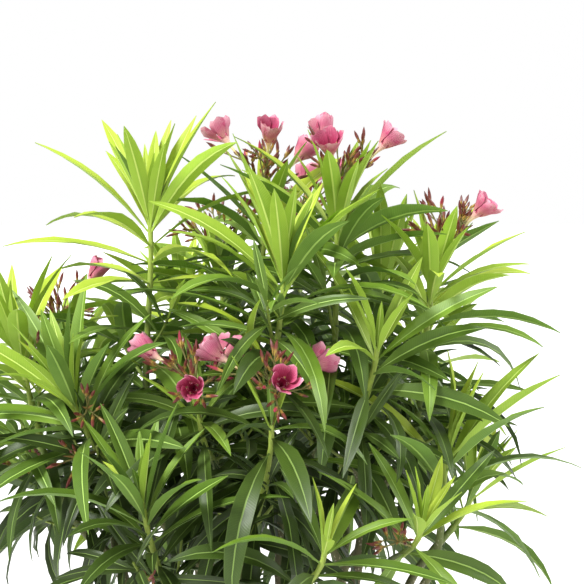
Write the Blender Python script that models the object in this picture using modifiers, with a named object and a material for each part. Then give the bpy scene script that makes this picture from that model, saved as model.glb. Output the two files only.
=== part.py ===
"""A potted oleander: eight stems rise from one root in a plain clay pot. Each stem forks in three, each
bough carries one leafy shoot, and some shoots end in a spray of funnel flowers and buds.

Run it with: blender --background --python part.py
Units are metres, +Z is up, and the origin is the middle of the pot's flat underside.
"""

import math
import random

import bmesh
import bpy
from mathutils import Matrix, Vector
from mathutils.bvhtree import BVHTree

# Pot and soil
POT_HEIGHT = 0.245
POT_RIM_RADIUS = 0.138
POT_FOOT_RADIUS = 0.094
POT_WALL = 0.009
POT_FLOOR = 0.012
COLLAR_HEIGHT = 0.048
COLLAR_STEP = 0.007
COLLAR_TAPER = 0.002
LIP_ROUND = 0.004
FOOT_BEVEL = 0.002
POT_STEPS = 32
SOIL_BELOW_RIM = 0.022
DRAIN_RADIUS = 0.006
DRAIN_CIRCLE = 0.048
DRAIN_COUNT = 4
CLEARANCE = 0.0003
SOIL_TOP = POT_HEIGHT - SOIL_BELOW_RIM

# Stems and boughs
STEM_FOOT_RADIUS = 0.0085
STEM_FORK_RADIUS = 0.0060
FLARE_RADIUS = 0.0125
FLARE_HEIGHT = 0.020
STEM_RINGS = 4
STEM_PULL = 0.4
STEM_SIDES = 6
TWIG_SIDES = 3
BOUGH_RADIUS = 0.0045
FORK_ANGLE = math.radians(36)
FORK_STUB = 0.026
STUB_SINK = 0.004
BOUGH_RINGS = 3
SHOOT_RINGS = 5
CURVE_STEPS = 40
SQUARE_END = 0.003
SHORTEST_EDGE = 0.0006
ENTRY_RADIUS = 0.0040
TIP_RADIUS = 0.0026
LEAFY_MOST = 0.205
LEAFY_SHARE = 0.74
UP = Vector((0, 0, 1))
DOWN = Vector((0, 0, -1))

# Leaves: whorls of three, shortest and most upright at the tip of a shoot
LEAF_LENGTH = 0.158
LEAF_WIDTH = 0.0240
LEAF_KEEL = 0.0019
TOP_LENGTH = 0.5
TOP_WIDTH = 0.62
TWIST_SPREAD = 22.0
TWIST_AT_FOOT = 0.35
STEEPEST = 112.0
PETIOLE_WIDTH = 0.0019
PETIOLE_KEEL = 0.0012
PETIOLE_OUT = 0.0006
WHORL_OF = 3
FIRST_NODE = 0.005
LAST_NODE = 0.012
NODE_GAP_FIRST = 0.009
NODE_GAP_GROWTH = 0.0060
NODE_GAP_MOST = 0.031
PITCH_TOP = 20.0
PITCH_RANGE = 68.0
DROOP_TOP = 8.0
DROOP_RANGE = 76.0
AGEING = 3.0
AGEING_POWER = 1.6
LEAF_STEPS = 12
DROOP_POWER = 1.35
HANGING = math.cos(math.radians(8))
LEAF_SECTIONS = ((0.0, 0.0), (0.33, 0.95), (0.68, 0.84), (1.0, 0.0))
STRAIGHT_SECTIONS = ((0.0, 0.0), (0.42, 1.0), (1.0, 0.0))
STRAIGHT_RANKS = 2
ROOM = 0.0007
LOWEST_LEAF = POT_HEIGHT + 0.03
# What a leaf that is in the way tries, in degrees: its turn about the stem, its lift towards it, and more sag
TRIES = (
    (0, 0, 0), (14, 0, 0), (-14, 0, 0), (0, 12, 10), (26, 6, 0), (-26, 6, 0), (12, -10, 14), (-12, -10, 14),
    (0, -22, 5), (20, 18, 30), (-20, 18, 30),
)

# Flowers
PEDUNCLE = 0.036
PEDUNCLE_RADII = (0.0022, 0.0019)
PEDUNCLE_SINK = 0.005
SPRAY_BRANCHES = 3
SPRAY_BRANCH = 0.042
SPRAY_GAP = 0.005
SPRAY_ANGLE = 40.0
STALK_RADIUS = 0.0012
TUBE_LENGTH = 0.015
TUBE_RADIUS = 0.0024
FLOWER_DEPTH = 0.028
FLOWER_RADIUS = 0.0165
PETALS = 5
PETAL_LIFT = 0.002
NOTCH_SHARE = 0.55
THROAT_SHARE = 0.45
BUD_LENGTH = 0.023
BUD_RADIUS = 0.0029
BUD_BELLY = 0.45
BUD_GAP = 0.008
BUD_SPIRAL = 137.0

# Each stem: its foot on the soil and its fork, then three shoots by the place of their growing tip.
# A shoot states its leaf size and spread against the usual, its turn about the stem, how far its tip leans
# outwards, how many whorls older than a fresh one its top whorl is, how crowded its whorls are, how long its
# leafy part is at most, and its flowers and buds. Its bloom is the turn of the spray's first branch, the
# branches' angle from the stalk, and their length against the usual.
STEMS = {
    "left": {"foot": (-0.050, -0.012), "fork": (-0.165, -0.020, 0.505), "shoots": {
        "left_far": {"tip": (-0.268, -0.050, 0.738), "size": 0.95, "turn": 20, "crowd": 0.8},
        "left_front": {"tip": (-0.203, -0.125, 0.690), "size": 1.02, "turn": 70},
        "left_low": {"tip": (-0.255, 0.050, 0.590), "size": 0.88, "turn": 0, "leafy": 0.085},
    }},
    "inner_left": {"foot": (-0.022, 0.020), "fork": (-0.078, 0.010, 0.550), "shoots": {
        "tall_left": {
            "tip": (-0.131, -0.030, 0.872), "size": 1.02, "turn": 35, "lean": 0.8, "spread": 0.9,
            "crowd": 0.65,
        },
        "bloom_left": {
            "tip": (-0.074, -0.150, 0.670), "size": 0.95, "turn": 10, "age": 2.0, "spread": 1.15,
            "flowers": 3, "buds": 6, "bloom": (250, 70, 0.8),
        },
        "behind_left": {"tip": (-0.060, 0.115, 0.800), "size": 0.95, "turn": 50, "age": 1, "buds": 5},
    }},
    "front": {"foot": (-0.010, -0.046), "fork": (-0.050, -0.120, 0.425), "shoots": {
        "front_left": {"tip": (-0.129, -0.190, 0.595), "size": 0.92, "turn": 25, "spread": 0.85},
        "bloom_front": {
            "tip": (-0.002, -0.170, 0.665), "size": 1.08, "turn": 80, "age": 2.5, "spread": 1.25,
            "flowers": 3, "buds": 6, "bloom": (255, 72, 0.9),
        },
        "front_low": {"tip": (0.050, -0.200, 0.545), "size": 1.0, "turn": 0, "age": 1.5},
    }},
    "centre": {"foot": (0.006, -0.004), "fork": (0.006, -0.018, 0.570), "shoots": {
        "centre_front": {
            "tip": (0.010, -0.105, 0.820), "size": 1.05, "turn": 15, "lean": 0.2, "crowd": 0.85,
        },
        "centre_bloom": {
            "tip": (0.066, -0.030, 0.862), "size": 1.08, "turn": 45, "age": 0.4,
            "flowers": 3, "buds": 6, "bloom": (95, 42, 1.0),
        },
        "centre_left_bloom": {
            "tip": (-0.012, 0.035, 0.864), "size": 1.0, "turn": 75, "age": 0.5, "lean": 0.4,
            "flowers": 3, "buds": 6, "bloom": (238, 42, 1.1),
        },
    }},
    "right": {"foot": (0.036, 0.014), "fork": (0.098, 0.004, 0.565), "shoots": {
        "right_high": {
            "tip": (0.168, -0.025, 0.804), "size": 0.98, "turn": 5, "age": 0.5, "lean": 1.6,
            "flowers": 1, "buds": 6, "bloom": (80, 26, 0.6),
        },
        "right_mid": {"tip": (0.118, 0.090, 0.800), "size": 0.98, "turn": 40},
        "right_pendant": {"tip": (0.104, -0.120, 0.738), "size": 1.0, "turn": 35, "age": 0.8},
    }},
    "right_low": {"foot": (0.040, -0.026), "fork": (0.130, -0.030, 0.455), "shoots": {
        "right_front": {
            "tip": (0.178, -0.085, 0.632), "size": 1.02, "turn": 30, "spread": 0.9, "crowd": 0.8,
            "leafy": 0.085,
        },
        "right_side": {"tip": (0.216, 0.050, 0.575), "size": 0.84, "turn": 0, "leafy": 0.07},
        "right_inner": {"tip": (0.148, -0.140, 0.560), "size": 0.86, "turn": 50, "age": 0.5, "leafy": 0.08},
    }},
    "back_left": {"foot": (-0.024, 0.056), "fork": (-0.085, 0.130, 0.470), "shoots": {
        "back_left_high": {"tip": (-0.105, 0.185, 0.765), "size": 0.98, "turn": 10},
        "back_left_far": {
            "tip": (-0.232, 0.130, 0.712), "size": 0.98, "turn": 55, "age": 1, "flowers": 1, "buds": 4,
        },
        "back_left_low": {"tip": (-0.135, 0.262, 0.605), "size": 0.98, "turn": 35},
    }},
    "back_right": {"foot": (0.026, 0.052), "fork": (0.075, 0.135, 0.470), "shoots": {
        "back_right_high": {
            "tip": (0.026, 0.185, 0.826), "size": 1.0, "turn": 25, "age": 1.5, "flowers": 2, "buds": 5,
        },
        "back_right_far": {"tip": (0.160, 0.165, 0.715), "size": 0.92, "turn": 5, "leafy": 0.16},
        "back_right_low": {"tip": (0.085, 0.268, 0.612), "size": 0.98, "turn": 65},
    }},
}


class Path:
    """A smooth line through space that can be read at any distance along it."""

    def __init__(self, points):
        self.points = points
        self.reach = [0.0]
        for before, after in zip(points, points[1:]):
            self.reach.append(self.reach[-1] + (after - before).length)
        self.length = self.reach[-1]

    def at(self, distance):
        """The point and the direction at a distance from the start."""
        distance = min(max(distance, 0.0), self.length)
        step = 1
        while step < len(self.reach) - 1 and self.reach[step] < distance:
            step += 1
        span = self.reach[step] - self.reach[step - 1]
        share = (distance - self.reach[step - 1]) / span
        before, after = self.points[step - 1], self.points[step]
        return before.lerp(after, share), (after - before).normalized()

    def cut(self, start, end, rings):
        """Points from one distance to another, one of them close to each end so that its cut lies square."""
        inner = [start + (end - start) * i / (rings - 1) for i in range(1, rings - 1)]
        marks = [start, start + SQUARE_END, *inner, end - SQUARE_END, end]
        return [self.at(mark)[0] for mark in marks], [(mark - start) / (end - start) for mark in marks]


def curve_between(start, leaving, end, arriving, pull=1.0):
    """A short straight run from the start, then a cubic that arrives at the end in the given direction."""
    points = [start]
    start = start + leaving * SQUARE_END
    chord = (end - start).length
    for i in range(CURVE_STEPS + 1):
        t = i / CURVE_STEPS
        points.append(
            start * (2 * t**3 - 3 * t**2 + 1)
            + leaving * pull * chord * (t**3 - 2 * t**2 + t)
            + end * (3 * t**2 - 2 * t**3)
            + arriving * chord * (t**3 - t**2)
        )
    return Path(points)


def mix(start, end, share):
    return start + (end - start) * share


def square_to(direction, towards=Vector((0, -1, 0))):
    """The part of `towards` that is square to a direction, as a unit vector."""
    return (towards - direction * towards.dot(direction)).normalized()


def tilted(direction, side, angle):
    """The direction turned by an angle towards a unit vector that is square to it."""
    return (direction * math.cos(angle) + side * math.sin(angle)).normalized()


# ---- Making meshes ----


def material(name, colour, roughness):
    made = bpy.data.materials.new(name)
    made.use_nodes = True
    shader = made.node_tree.nodes["Principled BSDF"]
    shader.inputs["Base Color"].default_value = (*colour, 1)
    shader.inputs["Roughness"].default_value = roughness
    shader.inputs["Metallic"].default_value = 0.0
    return made


def show(obj, finish, collection):
    """Gives an object its finish and shades its round sides smooth."""
    obj.data.materials.clear()
    obj.data.materials.append(finish)
    obj.data.shade_smooth()
    obj.data.set_sharp_from_angle(angle=math.radians(35))
    collection.objects.link(obj)
    return obj


def object_from(name, points, faces):
    """A closed mesh object from points and faces, with its faces turned outwards."""
    mesh = bpy.data.meshes.new(name)
    mesh.from_pydata(points, [], faces)
    form = bmesh.new()
    form.from_mesh(mesh)
    if signed_volume(form.faces) < 0:
        bmesh.ops.reverse_faces(form, faces=form.faces)
    form.to_mesh(mesh)
    form.free()
    return bpy.data.objects.new(name, mesh)


def lofted(sections):
    """Points and triangles of a solid through sections of equal count. A single point closes to a tip."""
    points, rows = [], []
    for section in sections:
        rows.append(range(len(points), len(points) + len(section)))
        points.extend(section)
    faces = []
    for low, high in zip(rows, rows[1:]):
        count = max(len(low), len(high))
        for i in range(count):
            j = (i + 1) % count
            if len(high) > 1:
                faces.append((low[i % len(low)], high[j], high[i]))
            if len(low) > 1:
                faces.append((low[i], low[j], high[j % len(high)]))
    for end, row in ((0, rows[0]), (1, rows[-1])):
        if len(row) > 1:
            order = list(row)[::-1] if end == 0 else list(row)
            faces.extend((order[0], order[i], order[i + 1]) for i in range(1, len(order) - 1))
    return points, faces


def ring_profile(sides):
    """A closed outline of unit radius that a tube takes as its section."""
    name = f"ring_{sides}"
    found = bpy.data.objects.get(name)
    if found:
        return found
    data = bpy.data.curves.new(name, "CURVE")
    spline = data.splines.new("POLY")
    spline.points.add(sides - 1)
    for i, point in enumerate(spline.points):
        turn = math.tau * i / sides
        point.co = (math.cos(turn), math.sin(turn), 0, 1)
    spline.use_cyclic_u = True
    profile = bpy.data.objects.new(name, data)
    profile.hide_render = True
    profile.display_type = "WIRE"
    bpy.context.scene.collection.objects.link(profile)
    return profile


def tube(name, points, radii, sides):
    """A tapering closed tube along points, made as a curve and turned into a mesh object."""
    data = bpy.data.curves.new(name, "CURVE")
    data.dimensions = "3D"
    data.bevel_mode = "OBJECT"
    data.bevel_object = ring_profile(sides)
    data.use_fill_caps = True
    spline = data.splines.new("POLY")
    spline.points.add(len(points) - 1)
    for point, place, radius in zip(spline.points, points, radii):
        point.co = (*place, 1)
        point.radius = radius
    curve = bpy.data.objects.new(name, data)
    bpy.context.scene.collection.objects.link(curve)
    graph = bpy.context.evaluated_depsgraph_get()
    mesh = bpy.data.meshes.new_from_object(curve.evaluated_get(graph))
    bpy.data.objects.remove(curve)
    form = bmesh.new()
    form.from_mesh(mesh)
    bmesh.ops.remove_doubles(form, verts=form.verts, dist=0.00002)
    bmesh.ops.triangulate(form, faces=form.faces)
    bmesh.ops.recalc_face_normals(form, faces=form.faces)
    form.to_mesh(mesh)
    form.free()
    return bpy.data.objects.new(name, mesh)


def points_and_faces(obj):
    return [v.co.copy() for v in obj.data.vertices], [tuple(p.vertices) for p in obj.data.polygons]


def fused(name, body, pieces, solver="EXACT"):
    """The union of a body and its pieces as one mesh object. The pieces are removed."""
    group = bpy.data.collections.new(name + "_pieces")
    bpy.context.scene.collection.children.link(group)
    bpy.context.scene.collection.objects.link(body)
    for piece in pieces:
        group.objects.link(piece)
    join = body.modifiers.new("join", "BOOLEAN")
    join.operation = "UNION"
    join.operand_type = "COLLECTION"
    join.collection = group
    join.solver = solver
    graph = bpy.context.evaluated_depsgraph_get()
    mesh = bpy.data.meshes.new_from_object(body.evaluated_get(graph))
    for piece in [*pieces, body]:
        bpy.data.objects.remove(piece)
    bpy.data.collections.remove(group)
    form = bmesh.new()
    form.from_mesh(mesh)
    keep_outer_shell(form, name)
    close_short_edges(form)
    form.to_mesh(mesh)
    form.free()
    return bpy.data.objects.new(name, mesh)


def keep_outer_shell(form, name):
    """Fills sealed hollows and drops loose scraps: only the island of most volume stays."""
    islands, seen = [], set()
    for start in form.faces:
        if start in seen:
            continue
        seen.add(start)
        island, waiting = [], [start]
        while waiting:
            face = waiting.pop()
            island.append(face)
            for near in {n for edge in face.edges for n in edge.link_faces} - seen:
                seen.add(near)
                waiting.append(near)
        islands.append((signed_volume(island), island))
    islands.sort(key=lambda found: found[0])
    for volume, island in islands[:-1]:
        print(name, "loses an island of", round(volume * 1e9, 3), "mm3,", len(island), "faces")
        bmesh.ops.delete(form, geom=island, context="FACES")


def close_short_edges(form):
    """Merges the ends of the tiny edges a union leaves, wherever the surface stays closed."""
    bmesh.ops.triangulate(form, faces=form.faces)
    merged = True
    while merged:
        merged = False
        touched = set()
        short = [edge for edge in form.edges if edge.calc_length() < SHORTEST_EDGE]
        for edge in sorted(short, key=lambda found: found.calc_length()):
            if not edge.is_valid or touched.intersection(edge.verts):
                continue
            a, b = edge.verts
            near_a = {found.other_vert(a) for found in a.link_edges}
            near_b = {found.other_vert(b) for found in b.link_edges}
            if len(near_a & near_b) == 2 and len(near_a | near_b) > 5:
                touched |= near_a | near_b
                bmesh.ops.pointmerge(form, verts=[a, b], merge_co=(a.co + b.co) / 2)
                merged = True


def signed_volume(faces):
    """The volume enclosed by faces, below zero where they face inwards."""
    total = 0.0
    for face in faces:
        corners = [loop.vert.co for loop in face.loops]
        for b, c in zip(corners[1:], corners[2:]):
            total += corners[0].dot(b.cross(c)) / 6
    return total


# ---- Keeping clear ----


class Space:
    """Every solid placed so far, so that leaves of one shoot keep out of the others."""

    def __init__(self):
        self.held = []

    def add(self, owner, points, faces):
        low = [min(p[k] for p in points) for k in range(3)]
        high = [max(p[k] for p in points) for k in range(3)]
        self.held.append((owner, low, high, BVHTree.FromPolygons(points, faces)))

    def add_object(self, owner, obj):
        self.add(owner, *points_and_faces(obj))

    def is_free(self, points, faces, skip=None, only=None):
        low = [min(p[k] for p in points) for k in range(3)]
        high = [max(p[k] for p in points) for k in range(3)]
        tree = None
        for owner, held_low, held_high, held_tree in self.held:
            if owner == skip or (only is not None and owner != only):
                continue
            if any(held_low[k] > high[k] or held_high[k] < low[k] for k in range(3)):
                continue
            tree = tree or BVHTree.FromPolygons(points, faces)
            if tree.overlap(held_tree):
                return False
        return True


# ---- Leaves ----


def leaf_line(leaf):
    """The midrib and, at each of its points, the way the blade's width lies. It recurves and sags."""
    across = leaf["axis"].cross(leaf["outward"]).normalized()
    sag = leaf["start"].cross(DOWN).normalized()
    hinge = (across + sag * max(across.dot(sag), 0.0)).normalized()
    points, widths = [leaf["node"] + leaf["outward"] * PETIOLE_OUT], [across]
    heading, across_here = leaf["start"], across
    for i in range(LEAF_STEPS):
        turn = Matrix.Rotation(leaf["droop"] * ((i + 0.5) / LEAF_STEPS) ** DROOP_POWER, 3, hinge)
        turned_heading = turn @ leaf["start"]
        if turned_heading.dot(DOWN) < HANGING:
            heading = turned_heading
            across_here = turn @ across
        points.append(points[-1] + heading * (leaf["length"] / LEAF_STEPS))
        widths.append(across_here)
    return Path(points), widths


def leaf_sections(leaf, room=0.0, first=0):
    """Three-cornered sections of a leaf: two edges and the keel under the midrib. Room makes it larger."""
    line, widths = leaf_line(leaf)
    sections = []
    shares = STRAIGHT_SECTIONS if leaf["rank"] < STRAIGHT_RANKS else LEAF_SECTIONS
    for share, wide in shares[first:]:
        place, along = line.at(share * line.length)
        side = square_to(along, widths[round(share * LEAF_STEPS)])
        side = Matrix.Rotation(leaf["twist"] * mix(TWIST_AT_FOOT, 1, share), 3, along) @ side
        face = along.cross(side)
        half = max(leaf["width"] * wide, PETIOLE_WIDTH) / 2 + room
        keel = (LEAF_KEEL if share else PETIOLE_KEEL) + room
        if share == 1.0:
            sections.append([place + along * room])
        else:
            sections.append([
                place + side * half + face * room,
                place - side * half + face * room,
                place - face * keel,
            ])
    return sections


def whorl_nodes(reach, crowd=1.0):
    """Distances from the tip of a shoot to its nodes, close together at the tip."""
    nodes, distance, gap = [], FIRST_NODE, NODE_GAP_FIRST * crowd
    while distance < reach:
        nodes.append(distance)
        distance += gap
        gap = min(gap + NODE_GAP_GROWTH * crowd, NODE_GAP_MOST)
    return nodes


def leaves_of(line, shoot, seed):
    """Every leaf of a shoot by the growth rule, from the tip down, before any is skipped."""
    draw = random.Random(seed)
    size, spread = shoot.get("size", 1.0), shoot.get("spread", 1.0)
    leaves = []
    for rank, back in enumerate(whorl_nodes(line.length - LAST_NODE, shoot.get("crowd", 1.0))):
        node, axis = line.at(line.length - back)
        age = 1 - math.exp(-(((rank + shoot.get("age", 0)) / AGEING) ** AGEING_POWER))
        full_length = min(1.0, (rank + 0.6) / 2.2)
        full_width = min(1.0, (rank + 0.5) / 2.0)
        first = square_to(axis)
        for i in range(WHORL_OF):
            turn = math.radians(shoot["turn"] + 60 * rank + 360 / WHORL_OF * i + draw.uniform(-14, 14))
            pitch = (PITCH_TOP + PITCH_RANGE * age * spread) + draw.uniform(-9, 9)
            droop = (DROOP_TOP + DROOP_RANGE * age * spread) * draw.uniform(0.35, 1.3)
            length = LEAF_LENGTH * size * mix(TOP_LENGTH, 1, full_length) * draw.uniform(0.9, 1.08)
            width = LEAF_WIDTH * size * mix(TOP_WIDTH, 1, full_width) * draw.uniform(0.82, 1.12)
            twist = math.radians(draw.gauss(0, TWIST_SPREAD))
            leaves.append({
                "node": node, "axis": axis, "outward": Matrix.Rotation(turn, 3, axis) @ first,
                "pitch": math.radians(min(pitch, STEEPEST)), "droop": math.radians(droop), "rank": rank,
                "length": length, "width": width, "twist": twist,
            })
    return leaves


def settled(leaf, space, owner):
    """The leaf turned a little until it is clear of every other shoot and of its own. None if it never is."""
    for turn, lift, sag in TRIES:
        tried = dict(leaf)
        tried["outward"] = Matrix.Rotation(math.radians(turn), 3, leaf["axis"]) @ leaf["outward"]
        tried["start"] = tilted(leaf["axis"], tried["outward"], leaf["pitch"] - math.radians(lift))
        tried["droop"] = leaf["droop"] + math.radians(sag)
        forms = [lofted(leaf_sections(tried, room)) for room in (0.0, ROOM)]
        if min(p.z for p in forms[0][0]) < LOWEST_LEAF:
            continue
        if not all(space.is_free(points, faces, skip=owner) for points, faces in forms):
            continue
        outer, outer_faces = lofted(leaf_sections(tried, ROOM, first=1))
        if space.is_free(outer, outer_faces, only=owner):
            return tried
    return None


# ---- Flowers ----


def ring(centre, along, side, radius, count):
    """Corners of a regular ring square to a direction."""
    return [centre + Matrix.Rotation(math.tau * i / count, 3, along) @ side * radius for i in range(count)]


def flower(name, root, along, reach):
    """A stalk that widens into a funnel, then a rim of five pointed petals round a sunken throat."""
    side = square_to(along)
    neck = root + along * (reach + TUBE_LENGTH)
    rim = neck + along * FLOWER_DEPTH
    outer = ring(rim, along, side, FLOWER_RADIUS, PETALS)
    notch_side = Matrix.Rotation(math.pi / PETALS, 3, along) @ side
    inner = ring(rim - along * PETAL_LIFT, along, notch_side, FLOWER_RADIUS * NOTCH_SHARE, PETALS)
    stalk = ring(root, along, side, STALK_RADIUS, PETALS)
    tube_end = ring(neck, along, side, TUBE_RADIUS, PETALS)
    points = [*stalk, *tube_end, *outer, *inner, rim - along * FLOWER_DEPTH * THROAT_SHARE]
    throat = len(points) - 1
    faces = [(0, 2, 1), (0, 3, 2), (0, 4, 3)]
    for i in range(PETALS):
        low, low_next = i, (i + 1) % PETALS
        high, high_next = low + PETALS, low_next + PETALS
        tip, next_tip, notch = high + PETALS, high_next + PETALS, i + 3 * PETALS
        faces += [(low, high_next, high), (low, low_next, high_next)]
        faces += [(high, notch, tip), (high, high_next, notch), (high_next, next_tip, notch)]
        faces += [(tip, notch, throat), (notch, next_tip, throat)]
    return object_from(name, points, faces)


def bud(name, root, along, length):
    """A three-sided spindle, pointed at both ends."""
    side = square_to(along, Vector((0.9, 0.3, 0.2)))
    belly = ring(root + along * length * BUD_BELLY, along, side, BUD_RADIUS, 3)
    return object_from(name, *lofted([[root], belly, [root + along * length]]))


def spray_of(name, tip, axis, shoot, seed):
    """The flower spray past the tip of a shoot: a stalk, and three branches with a flower or buds on each."""
    draw = random.Random(seed)
    top = tip + axis * PEDUNCLE
    pieces = [tube(name + "_stalk", [tip - axis * PEDUNCLE_SINK, top], PEDUNCLE_RADII, TWIG_SIDES)]
    flowers, buds = shoot.get("flowers", 0), shoot.get("buds", 0)
    bloom_turn, bloom_angle, bloom_reach = shoot.get("bloom", (shoot["turn"] + 30, SPRAY_ANGLE, 1.0))
    first = square_to(axis)
    for i in range(SPRAY_BRANCHES):
        turn = math.radians(bloom_turn + 360 / SPRAY_BRANCHES * i + draw.uniform(-20, 20))
        out = Matrix.Rotation(turn, 3, axis) @ first
        leaving = tilted(axis, out, math.radians(bloom_angle + draw.uniform(-14, 14)))
        root = top - axis * (0.002 + SPRAY_GAP * i) + out * 0.0004
        reach = SPRAY_BRANCH * bloom_reach * draw.uniform(0.75, 1.1)
        if i < flowers:
            pieces.append(flower(f"{name}_flower_{i}", root, leaving, reach))
        else:
            end = root + leaving * reach
            pieces.append(tube(f"{name}_branch_{i}", [root, end], [STALK_RADIUS, STALK_RADIUS], TWIG_SIDES))
        around = square_to(leaving)
        share = buds // SPRAY_BRANCHES + (1 if i < buds % SPRAY_BRANCHES else 0)
        for k in range(share):
            swing = Matrix.Rotation(math.radians(BUD_SPIRAL * k + draw.uniform(0, 60)), 3, leaving) @ around
            heading = tilted(leaving, swing, math.radians(draw.uniform(28, 42)))
            seat = root + leaving * (reach * 0.5 + BUD_GAP * k)
            pieces.append(bud(f"{name}_bud_{i}_{k}", seat, heading, BUD_LENGTH * draw.uniform(0.8, 1.15)))
    return pieces


# ---- Pot and soil ----


def turned(name, profile):
    """A solid of revolution from a profile of (radius, height) that starts and ends on the axis."""
    mesh = bpy.data.meshes.new(name)
    mesh.from_pydata([(r, 0, z) for r, z in profile], [(i, i + 1) for i in range(len(profile) - 1)], [])
    obj = bpy.data.objects.new(name, mesh)
    screw = obj.modifiers.new("turn", "SCREW")
    screw.steps = POT_STEPS
    screw.render_steps = POT_STEPS
    screw.use_merge_vertices = True
    screw.merge_threshold = 0.00005
    return obj


def wall_radius(height):
    """The pot's outer radius under its collar, at a height."""
    under_collar = POT_RIM_RADIUS - COLLAR_STEP
    return POT_FOOT_RADIUS + (under_collar - POT_FOOT_RADIUS) * height / POT_HEIGHT


def build_pot(collection):
    inner_rim = POT_RIM_RADIUS - COLLAR_STEP - POT_WALL
    collar_foot = POT_HEIGHT - COLLAR_HEIGHT
    pot = turned("pot", [
        (0, POT_FLOOR),
        (wall_radius(POT_FLOOR) - POT_WALL, POT_FLOOR),
        (inner_rim, POT_HEIGHT - LIP_ROUND),
        (inner_rim + LIP_ROUND, POT_HEIGHT),
        (POT_RIM_RADIUS - LIP_ROUND, POT_HEIGHT),
        (POT_RIM_RADIUS, POT_HEIGHT - LIP_ROUND),
        (POT_RIM_RADIUS - COLLAR_TAPER, collar_foot),
        (wall_radius(collar_foot), collar_foot),
        (POT_FOOT_RADIUS, FOOT_BEVEL),
        (POT_FOOT_RADIUS - FOOT_BEVEL, 0),
        (0, 0),
    ])
    cutters = bpy.data.collections.new("cutters")
    bpy.context.scene.collection.children.link(cutters)
    for i in range(DRAIN_COUNT):
        turn = math.tau * (i + 0.5) / DRAIN_COUNT
        form = bmesh.new()
        bmesh.ops.create_cone(
            form, cap_ends=True, segments=10, radius1=DRAIN_RADIUS, radius2=DRAIN_RADIUS, depth=4 * POT_FLOOR,
            matrix=Matrix.Translation((DRAIN_CIRCLE * math.cos(turn), DRAIN_CIRCLE * math.sin(turn), 0)),
        )
        mesh = bpy.data.meshes.new(f"drain_{i}")
        form.to_mesh(mesh)
        form.free()
        drain = bpy.data.objects.new(f"drain_{i}", mesh)
        drain.hide_render = True
        drain.display_type = "WIRE"
        cutters.objects.link(drain)
    cut = pot.modifiers.new("drains", "BOOLEAN")
    cut.operation = "DIFFERENCE"
    cut.operand_type = "COLLECTION"
    cut.collection = cutters
    cut.solver = "EXACT"
    return show(pot, material("clay", (0.52, 0.24, 0.13), 0.85), collection)


def build_soil(collection):
    low = POT_FLOOR + CLEARANCE
    inner_foot = wall_radius(POT_FLOOR) - POT_WALL
    inner_rim = POT_RIM_RADIUS - COLLAR_STEP - POT_WALL
    rise = (SOIL_TOP - POT_FLOOR) / (POT_HEIGHT - LIP_ROUND - POT_FLOOR)
    inner_top = inner_foot + (inner_rim - inner_foot) * rise
    soil = turned("soil", [
        (0, SOIL_TOP),
        (inner_top - 2 * CLEARANCE, SOIL_TOP),
        (inner_foot - 2 * CLEARANCE, low),
        (0, low),
    ])
    return show(soil, material("potting_mix", (0.045, 0.028, 0.018), 0.95), collection)


# ---- The plant ----


def evenly_round(axis, targets, origin):
    """Three sideways directions 120 degrees apart, turned to suit where the three shoots go."""
    first = square_to(axis)
    other = axis.cross(first)
    angles = []
    for target in targets:
        away = square_to(axis, target - origin)
        angles.append(math.atan2(away.dot(other), away.dot(first)))
    order = sorted(range(3), key=lambda i: angles[i])
    wanted = [angles[i] - math.tau * k / 3 for k, i in enumerate(order)]
    phase = math.atan2(sum(map(math.sin, wanted)), sum(map(math.cos, wanted)))
    sides = [None] * 3
    for k, i in enumerate(order):
        turn = phase + math.tau * k / 3
        sides[i] = first * math.cos(turn) + other * math.sin(turn)
    return sides


def build_stem(name, stem, bark, collection, space):
    """One stem from its flared foot to its fork. Returns where each bough starts, and in which direction."""
    foot = Vector((*stem["foot"], SOIL_TOP + CLEARANCE))
    fork = Vector(stem["fork"])
    lean = (fork - foot).normalized()
    path = curve_between(foot, UP, fork, (UP * 0.35 + lean * 0.65).normalized(), STEM_PULL)
    points, shares = path.cut(0, path.length, STEM_RINGS)
    points.insert(2, path.at(FLARE_HEIGHT)[0])
    shares.insert(2, FLARE_HEIGHT / path.length)
    radii = [mix(STEM_FOOT_RADIUS, STEM_FORK_RADIUS, share) for share in shares]
    radii[0] = radii[1] = FLARE_RADIUS
    body = tube("stem_" + name, points, radii, STEM_SIDES)
    axis = path.at(path.length)[1]
    tips = [Vector(shoot["tip"]) for shoot in stem["shoots"].values()]
    stubs, starts = [], []
    for i, side in enumerate(evenly_round(axis, tips, fork)):
        leaving = tilted(axis, side, FORK_ANGLE)
        end = fork + leaving * FORK_STUB
        root = fork - leaving * STUB_SINK
        stubs.append(tube(f"stub_{i}", [root, end], [BOUGH_RADIUS, BOUGH_RADIUS], STEM_SIDES))
        starts.append((end, leaving))
    stem_object = fused("stem_" + name, body, stubs)
    show(stem_object, bark, collection)
    space.add_object("limbs", stem_object)
    return starts


def bough_path(start, leaving, shoot):
    """The line of a bough and its shoot, from the fork's stub to the growing tip."""
    tip = Vector(shoot["tip"])
    outward = Vector((tip.x, tip.y, 0))
    arriving = (UP + outward * shoot.get("lean", 1.1)).normalized()
    return curve_between(start + leaving * CLEARANCE, leaving, tip, arriving)


def build_bough(name, path, leafy_most, bark, collection, space):
    """The bare length between the fork and the foliage. Returns how much of the path is left to foliage."""
    leafy = min(path.length * LEAFY_SHARE, leafy_most)
    end = path.length - leafy - CLEARANCE
    points, shares = path.cut(0, end, BOUGH_RINGS)
    radii = [mix(BOUGH_RADIUS, ENTRY_RADIUS, share) for share in shares]
    bough = tube("bough_" + name, points, radii, STEM_SIDES)
    show(bough, bark, collection)
    space.add_object("limbs", bough)
    return leafy


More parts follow.
